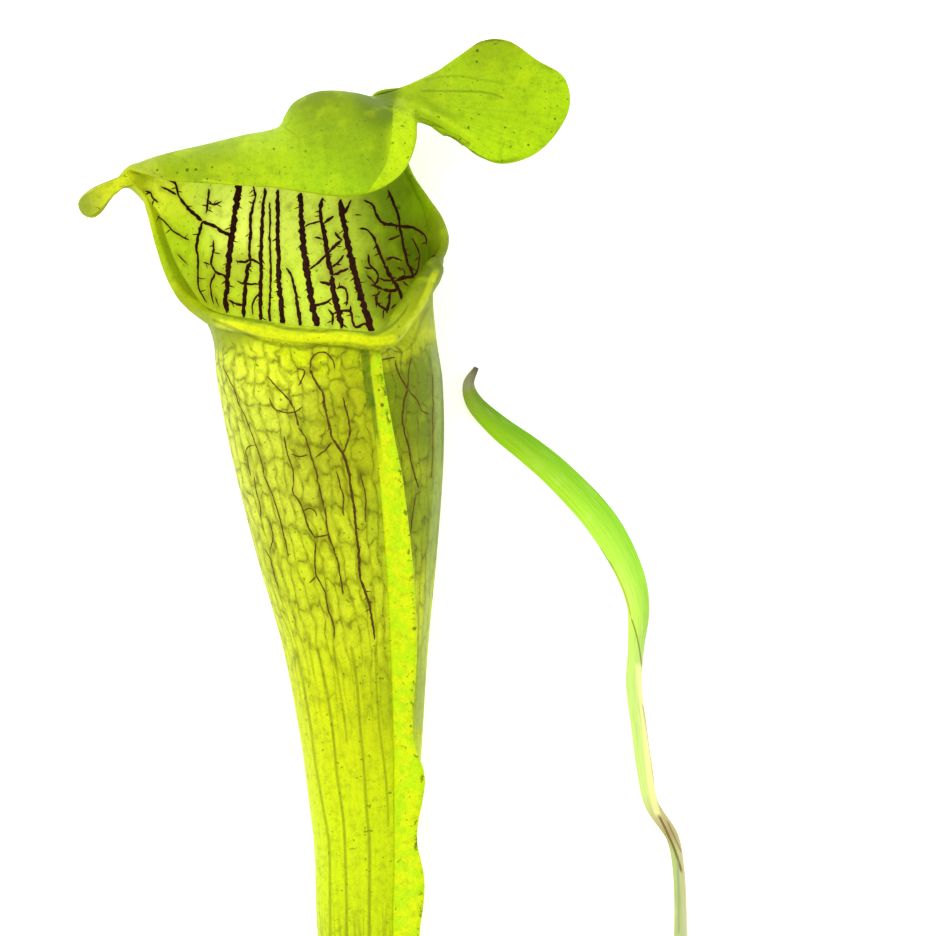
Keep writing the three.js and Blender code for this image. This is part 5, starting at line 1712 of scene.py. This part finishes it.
def line_share(tree, along, across, reach, soft, path):
    """1 on a line and 0 beyond its reach. The line has one place across for each place along."""
    path = sorted(path)
    low, high = path[0][0], path[-1][0]
    least = min(p[1] for p in path) - 1
    most = max(p[1] for p in path) + 1
    at = node(tree, "MapRange", {"Value": along, "From Min": low, "From Max": high}).outputs["Result"]
    made = node(tree, "FloatCurve", {"Value": at})
    curve = made.mapping.curves[0]
    spots = [((p[0] - low) / (high - low), (p[1] - least) / (most - least)) for p in path]
    curve.points[0].location = spots[0]
    curve.points[1].location = spots[-1]
    for spot in spots[1:-1]:
        curve.points.new(*spot)
    made.mapping.update()
    place = maths(tree, "MULTIPLY_ADD", made.outputs[0], most - least, least)
    away = maths(tree, "ABSOLUTE", maths(tree, "SUBTRACT", place, across))
    near = ramp(tree, away, reach * (1 - soft), reach, 1.0, 0.0)
    half = (high - low) / 2
    fade = max(LINE_FADE, 1.5 * reach)
    from_middle = maths(tree, "ABSOLUTE", maths(tree, "SUBTRACT", along, low + half))
    return times(tree, near, ramp(tree, from_middle, half - fade, half, 1.0, 0.0))


def with_lines(tree, base, lines, weight):
    """The base colour with the lines painted over it."""
    seen = node(tree, "SeparateXYZ", {"Vector": stored(tree, "seen", "Vector")}).outputs
    layers = []
    for axis, reach, soft, code, strength, path in lines:
        along, across = (seen[0], seen[1]) if axis == "x" else (seen[1], seen[0])
        if axis == "y":
            path = [(y, x) for x, y in path]
        share = times(tree, line_share(tree, along, across, reach, soft, path), weight)
        layers.append((share, strength, code))
    return layered(tree, base, layers)


def net_layers(tree, place):
    """The net as layers: cells in columns down the tube, longer towards the foot, with a soft shade
    along their lines and finer cells within them, and long lines where the photo no longer shows it."""
    grid = stored(tree, "grid", "Vector")
    for scale, amount in NET_BENDS:
        grid = shifted(tree, grid, scale, amount)
    edges = net_away(tree, grid, NET_WIDE, NET_LONG)
    net = times(tree, stored(tree, "net"), maths(tree, "MULTIPLY_ADD", stored(tree, "low"), -NET_FADE, 1.0))
    halo = ramp(tree, edges, 0.1, 0.8, 1.0, 0.0)
    fine = ramp(tree, cell_edges(tree, grid, (0.8, 0.6, 0.7)), 0.0, 0.16, 1.0, 0.0)
    wide = ramp(tree, noise(tree, place, 0.8), 0.3, 0.7, 0.16, 0.34)
    lines = node(tree, "MapRange", {
        "Value": edges, "From Min": 0.03, "From Max": wide, "To Min": 1.0, "To Max": 0.0,
    }).outputs["Result"]
    patch = ramp(tree, noise(tree, place, 0.45), 0.4, 0.62, 0.25, 1.0)
    run = shifted(tree, place, 0.3, (1.3, 1.2, 0))
    long = ramp(tree, cell_edges(tree, run, (0.2, 0.018, 0.1)), 0.0, 0.06, 1.0, 0.0)
    return [
        (times(tree, halo, net), 0.38, "7E8A10"),
        (times(tree, fine, net), 0.14, "6A7608"),
        (times(tree, lines, patch, net), 0.62, "4E480A"),
        (times(tree, long, stored(tree, "far")), 0.45, "6E6E08"),
    ]


def pitcher_material():
    material, tree, shader = new_material("pitcher_skin", 0.5, 0.12)
    place = stored(tree, "place", "Vector")
    where = node(tree, "TexCoord").outputs["Object"]
    mottle = noise(tree, where, 700.0, 4.0, 0.65)
    blotch = noise(tree, where, 260.0, 2.0)
    rays = node(tree, "CombineXYZ", {"X": stored(tree, "fan"), "Y": stored(tree, "level")}).outputs[0]
    streak = ramp(tree, noise(tree, scaled(tree, rays, (0.9, 0.25, 1)), 1.0), 0.45, 0.62)
    base = layered(tree, stored(tree, "tint", "Color"), [
        (times(tree, streak, stored(tree, "hood")), 0.12, "6E8C10"),
        (ramp(tree, mottle, 0.45, 0.72), 0.35, "6E8C0C"),
        (ramp(tree, blotch, 0.5, 0.75), 0.25, "D8EE30"),
        *net_layers(tree, place),
        (stored(tree, "shade"), 0.4, "6E6A0C"),
    ])
    broken = times(tree, stored(tree, "plain"), ramp(tree, mottle, 0.3, 0.65, 1.0, 0.6))
    base = with_lines(tree, base, LINES, broken)

    # Specks along the wing's edge and everywhere, green patches on the wing and the dark dots.
    edge_specks = ramp(tree, noise(tree, where, 900.0, 3.0, 0.6), 0.55, 0.62)
    specks = ramp(tree, noise(tree, where, 1300.0, 1.0), 0.7, 0.74)
    green = ramp(tree, noise(tree, where, 420.0, 3.0, 0.6), 0.46, 0.58)
    all_specks = maths(
        tree, "MAXIMUM", times(tree, edge_specks, stored(tree, "crest"), 0.85), times(tree, specks, 0.7)
    )
    base = layered(tree, base, [
        (all_specks, 1.0, "4E7406"),
        (times(tree, green, stored(tree, "wing")), 0.55, "B4EC08"),
        (dot_share(tree, DOTS), 0.8, "3A3C08"),
    ])
    grain = noise(tree, where, 2600.0, 2.0)
    value = times(tree, ramp(tree, grain, 0.3, 0.7, 0.94, 1.06), ALBEDO)
    bright = node(tree, "HueSaturation", {"Color": base, "Value": value, "Saturation": 1.05}).outputs[0]
    tree.links.new(bright, shader.inputs["Base Color"])
    # A painted glow: the wall round the mouth gives off light in its own colour, in place of the light from
    # behind that it lets through.
    lit = blended(tree, stored(tree, "glow"), "000000", base)
    tree.links.new(lit, shader.inputs["Emission Color"])
    shader.inputs["Emission Strength"].default_value = GLOW
    bump(tree, shader, mottle, 0.25, 0.2)
    return material


def vein_material(name, dark, light):
    material, tree, shader = new_material(name, 0.6, 0.1)
    where = node(tree, "TexCoord").outputs["Object"]
    patch = ramp(tree, noise(tree, where, 1400.0), 0.35, 0.65)
    thin = ramp(tree, stored(tree, "thick"), 0.2, 0.8, 0.45, 0.0)
    share = maths(tree, "ADD", times(tree, patch, 0.4), thin)
    tree.links.new(blended(tree, share, dark, light), shader.inputs["Base Color"])
    return material


def narrow_leaf_material():
    material, tree, shader = new_material("narrow_leaf", 0.5, 0.12)
    across = stored(tree, "across")
    height = stored(tree, "height")
    lengthwise = node(tree, "CombineXYZ", {"X": across, "Y": height}).outputs[0]
    lines = noise(tree, scaled(tree, lengthwise, (9.0, 0.12, 1)), 1.0, 3.0, 0.6)
    patch = noise(tree, scaled(tree, lengthwise, (1.2, 0.25, 1)), 1.0)
    base = layered(tree, stored(tree, "tint", "Color"), [
        (ramp(tree, lines, 0.45, 0.7), 0.25, "5E8A18"),
        (ramp(tree, patch, 0.5, 0.8), 0.2, "E4F08A"),
    ])
    base = with_lines(tree, base, LEAF_LINES, 1.0)
    bright = node(tree, "HueSaturation", {"Color": base, "Value": ALBEDO}).outputs[0]
    tree.links.new(bright, shader.inputs["Base Color"])
    # a faint painted glow in the leaf's own colour, in place of light coming through it
    tree.links.new(base, shader.inputs["Emission Color"])
    shader.inputs["Emission Strength"].default_value = LEAF_GLOW
    bump(tree, shader, lines, 0.3, 0.15)
    return material


def brown_material(name, codes, scale, roughness, strength):
    """A rough brown skin: its dark, middle and light colours, and how coarse its grain is."""
    material, tree, shader = new_material(name, roughness, 0.15)
    where = node(tree, "TexCoord").outputs["Object"]
    grain = noise(tree, where, scale, 6.0, 0.65)
    spots = noise(tree, where, scale / 5, 3.0)
    base = blended(tree, ramp(tree, grain, 0.35, 0.7), codes[0], codes[1])
    base = layered(tree, base, [(ramp(tree, spots, 0.5, 0.75), 0.7, codes[2])])
    tree.links.new(base, shader.inputs["Base Color"])
    bump(tree, shader, grain, strength, 0.3)
    return material


def give(piece, material):
    piece.data.materials.append(material)


# The plant

pitcher, outer_wall, inner_wall = make_pitcher()
give(pitcher, pitcher_material())
mouth_veins = make_veins("mouth_veins", INNER_VEINS, inner_wall, 1, MOUTH_SOFT)
give(mouth_veins, vein_material("mouth_veins", "2C0A08", "521C14"))
tube_veins = make_veins("tube_veins", OUTER_VEINS, outer_wall, 2, TUBE_SOFT)
give(tube_veins, vein_material("tube_veins", "40240A", "62500E"))
give(make_narrow_leaf(), narrow_leaf_material())
give(make_rhizome(), brown_material("rhizome_skin", ("3A2616", "6B4A2F", "8A6A48"), 900.0, 0.85, 0.6))
give(make_roots(), brown_material("root_skin", ("2E1E12", "55392A", "7A5A40"), 1500.0, 0.85, 0.4))
give(make_scales(), brown_material("papery_scales", ("6E5030", "A98A5A", "CDB98A"), 700.0, 0.8, 0.4))
give(make_bud(), brown_material("bud_scales", ("A8925A", "C8B46A", "B0602E"), 500.0, 0.6, 0.3))

# Surface, light and camera


def make_floor():
    mesh = bpy.data.meshes.new("floor")
    corners = [(-1, -1), (1, -1), (1, 1), (-1, 1)]
    points = [(x * FLOOR_REACH, y * FLOOR_REACH, -FLOOR_DROP) for x, y in corners]
    mesh.from_pydata(points, [], [(0, 1, 2, 3)])
    floor = bpy.data.objects.new("floor", mesh)
    bpy.context.scene.collection.objects.link(floor)
    material, _, shader = new_material("floor", 0.9, 0.1)
    shader.inputs["Base Color"].default_value = (0.93, 0.93, 0.93, 1)
    shader.inputs["Emission Color"].default_value = (1, 1, 1, 1)
    shader.inputs["Emission Strength"].default_value = FLOOR_GLOW
    give(floor, material)


def make_light():
    world = bpy.data.worlds.new("world")
    world.use_nodes = True
    background = world.node_tree.nodes["Background"]
    background.inputs["Color"].default_value = (1, 1, 1, 1)
    background.inputs["Strength"].default_value = WORLD_STRENGTH
    bpy.context.scene.world = world
    lamp = bpy.data.lights.new("key", "SUN")
    lamp.energy = KEY_STRENGTH
    lamp.angle = math.radians(KEY_SPREAD)
    key = bpy.data.objects.new("key", lamp)
    key.rotation_euler = Vector(KEY_FROM).to_track_quat("Z", "Y").to_euler()
    bpy.context.scene.collection.objects.link(key)


def make_camera():
    lens = bpy.data.cameras.new("camera")
    lens.sensor_width = 36
    lens.lens = lens.sensor_width * VIEW_DISTANCE / VIEW_WIDTH
    lens.clip_end = 20
    camera = bpy.data.objects.new("camera", lens)
    camera.location = CAMERA_POINT * MM
    bpy.context.scene.collection.objects.link(camera)
    bpy.context.scene.camera = camera


make_floor()
make_light()
make_camera()
bpy.context.scene.view_settings.view_transform = "Standard"
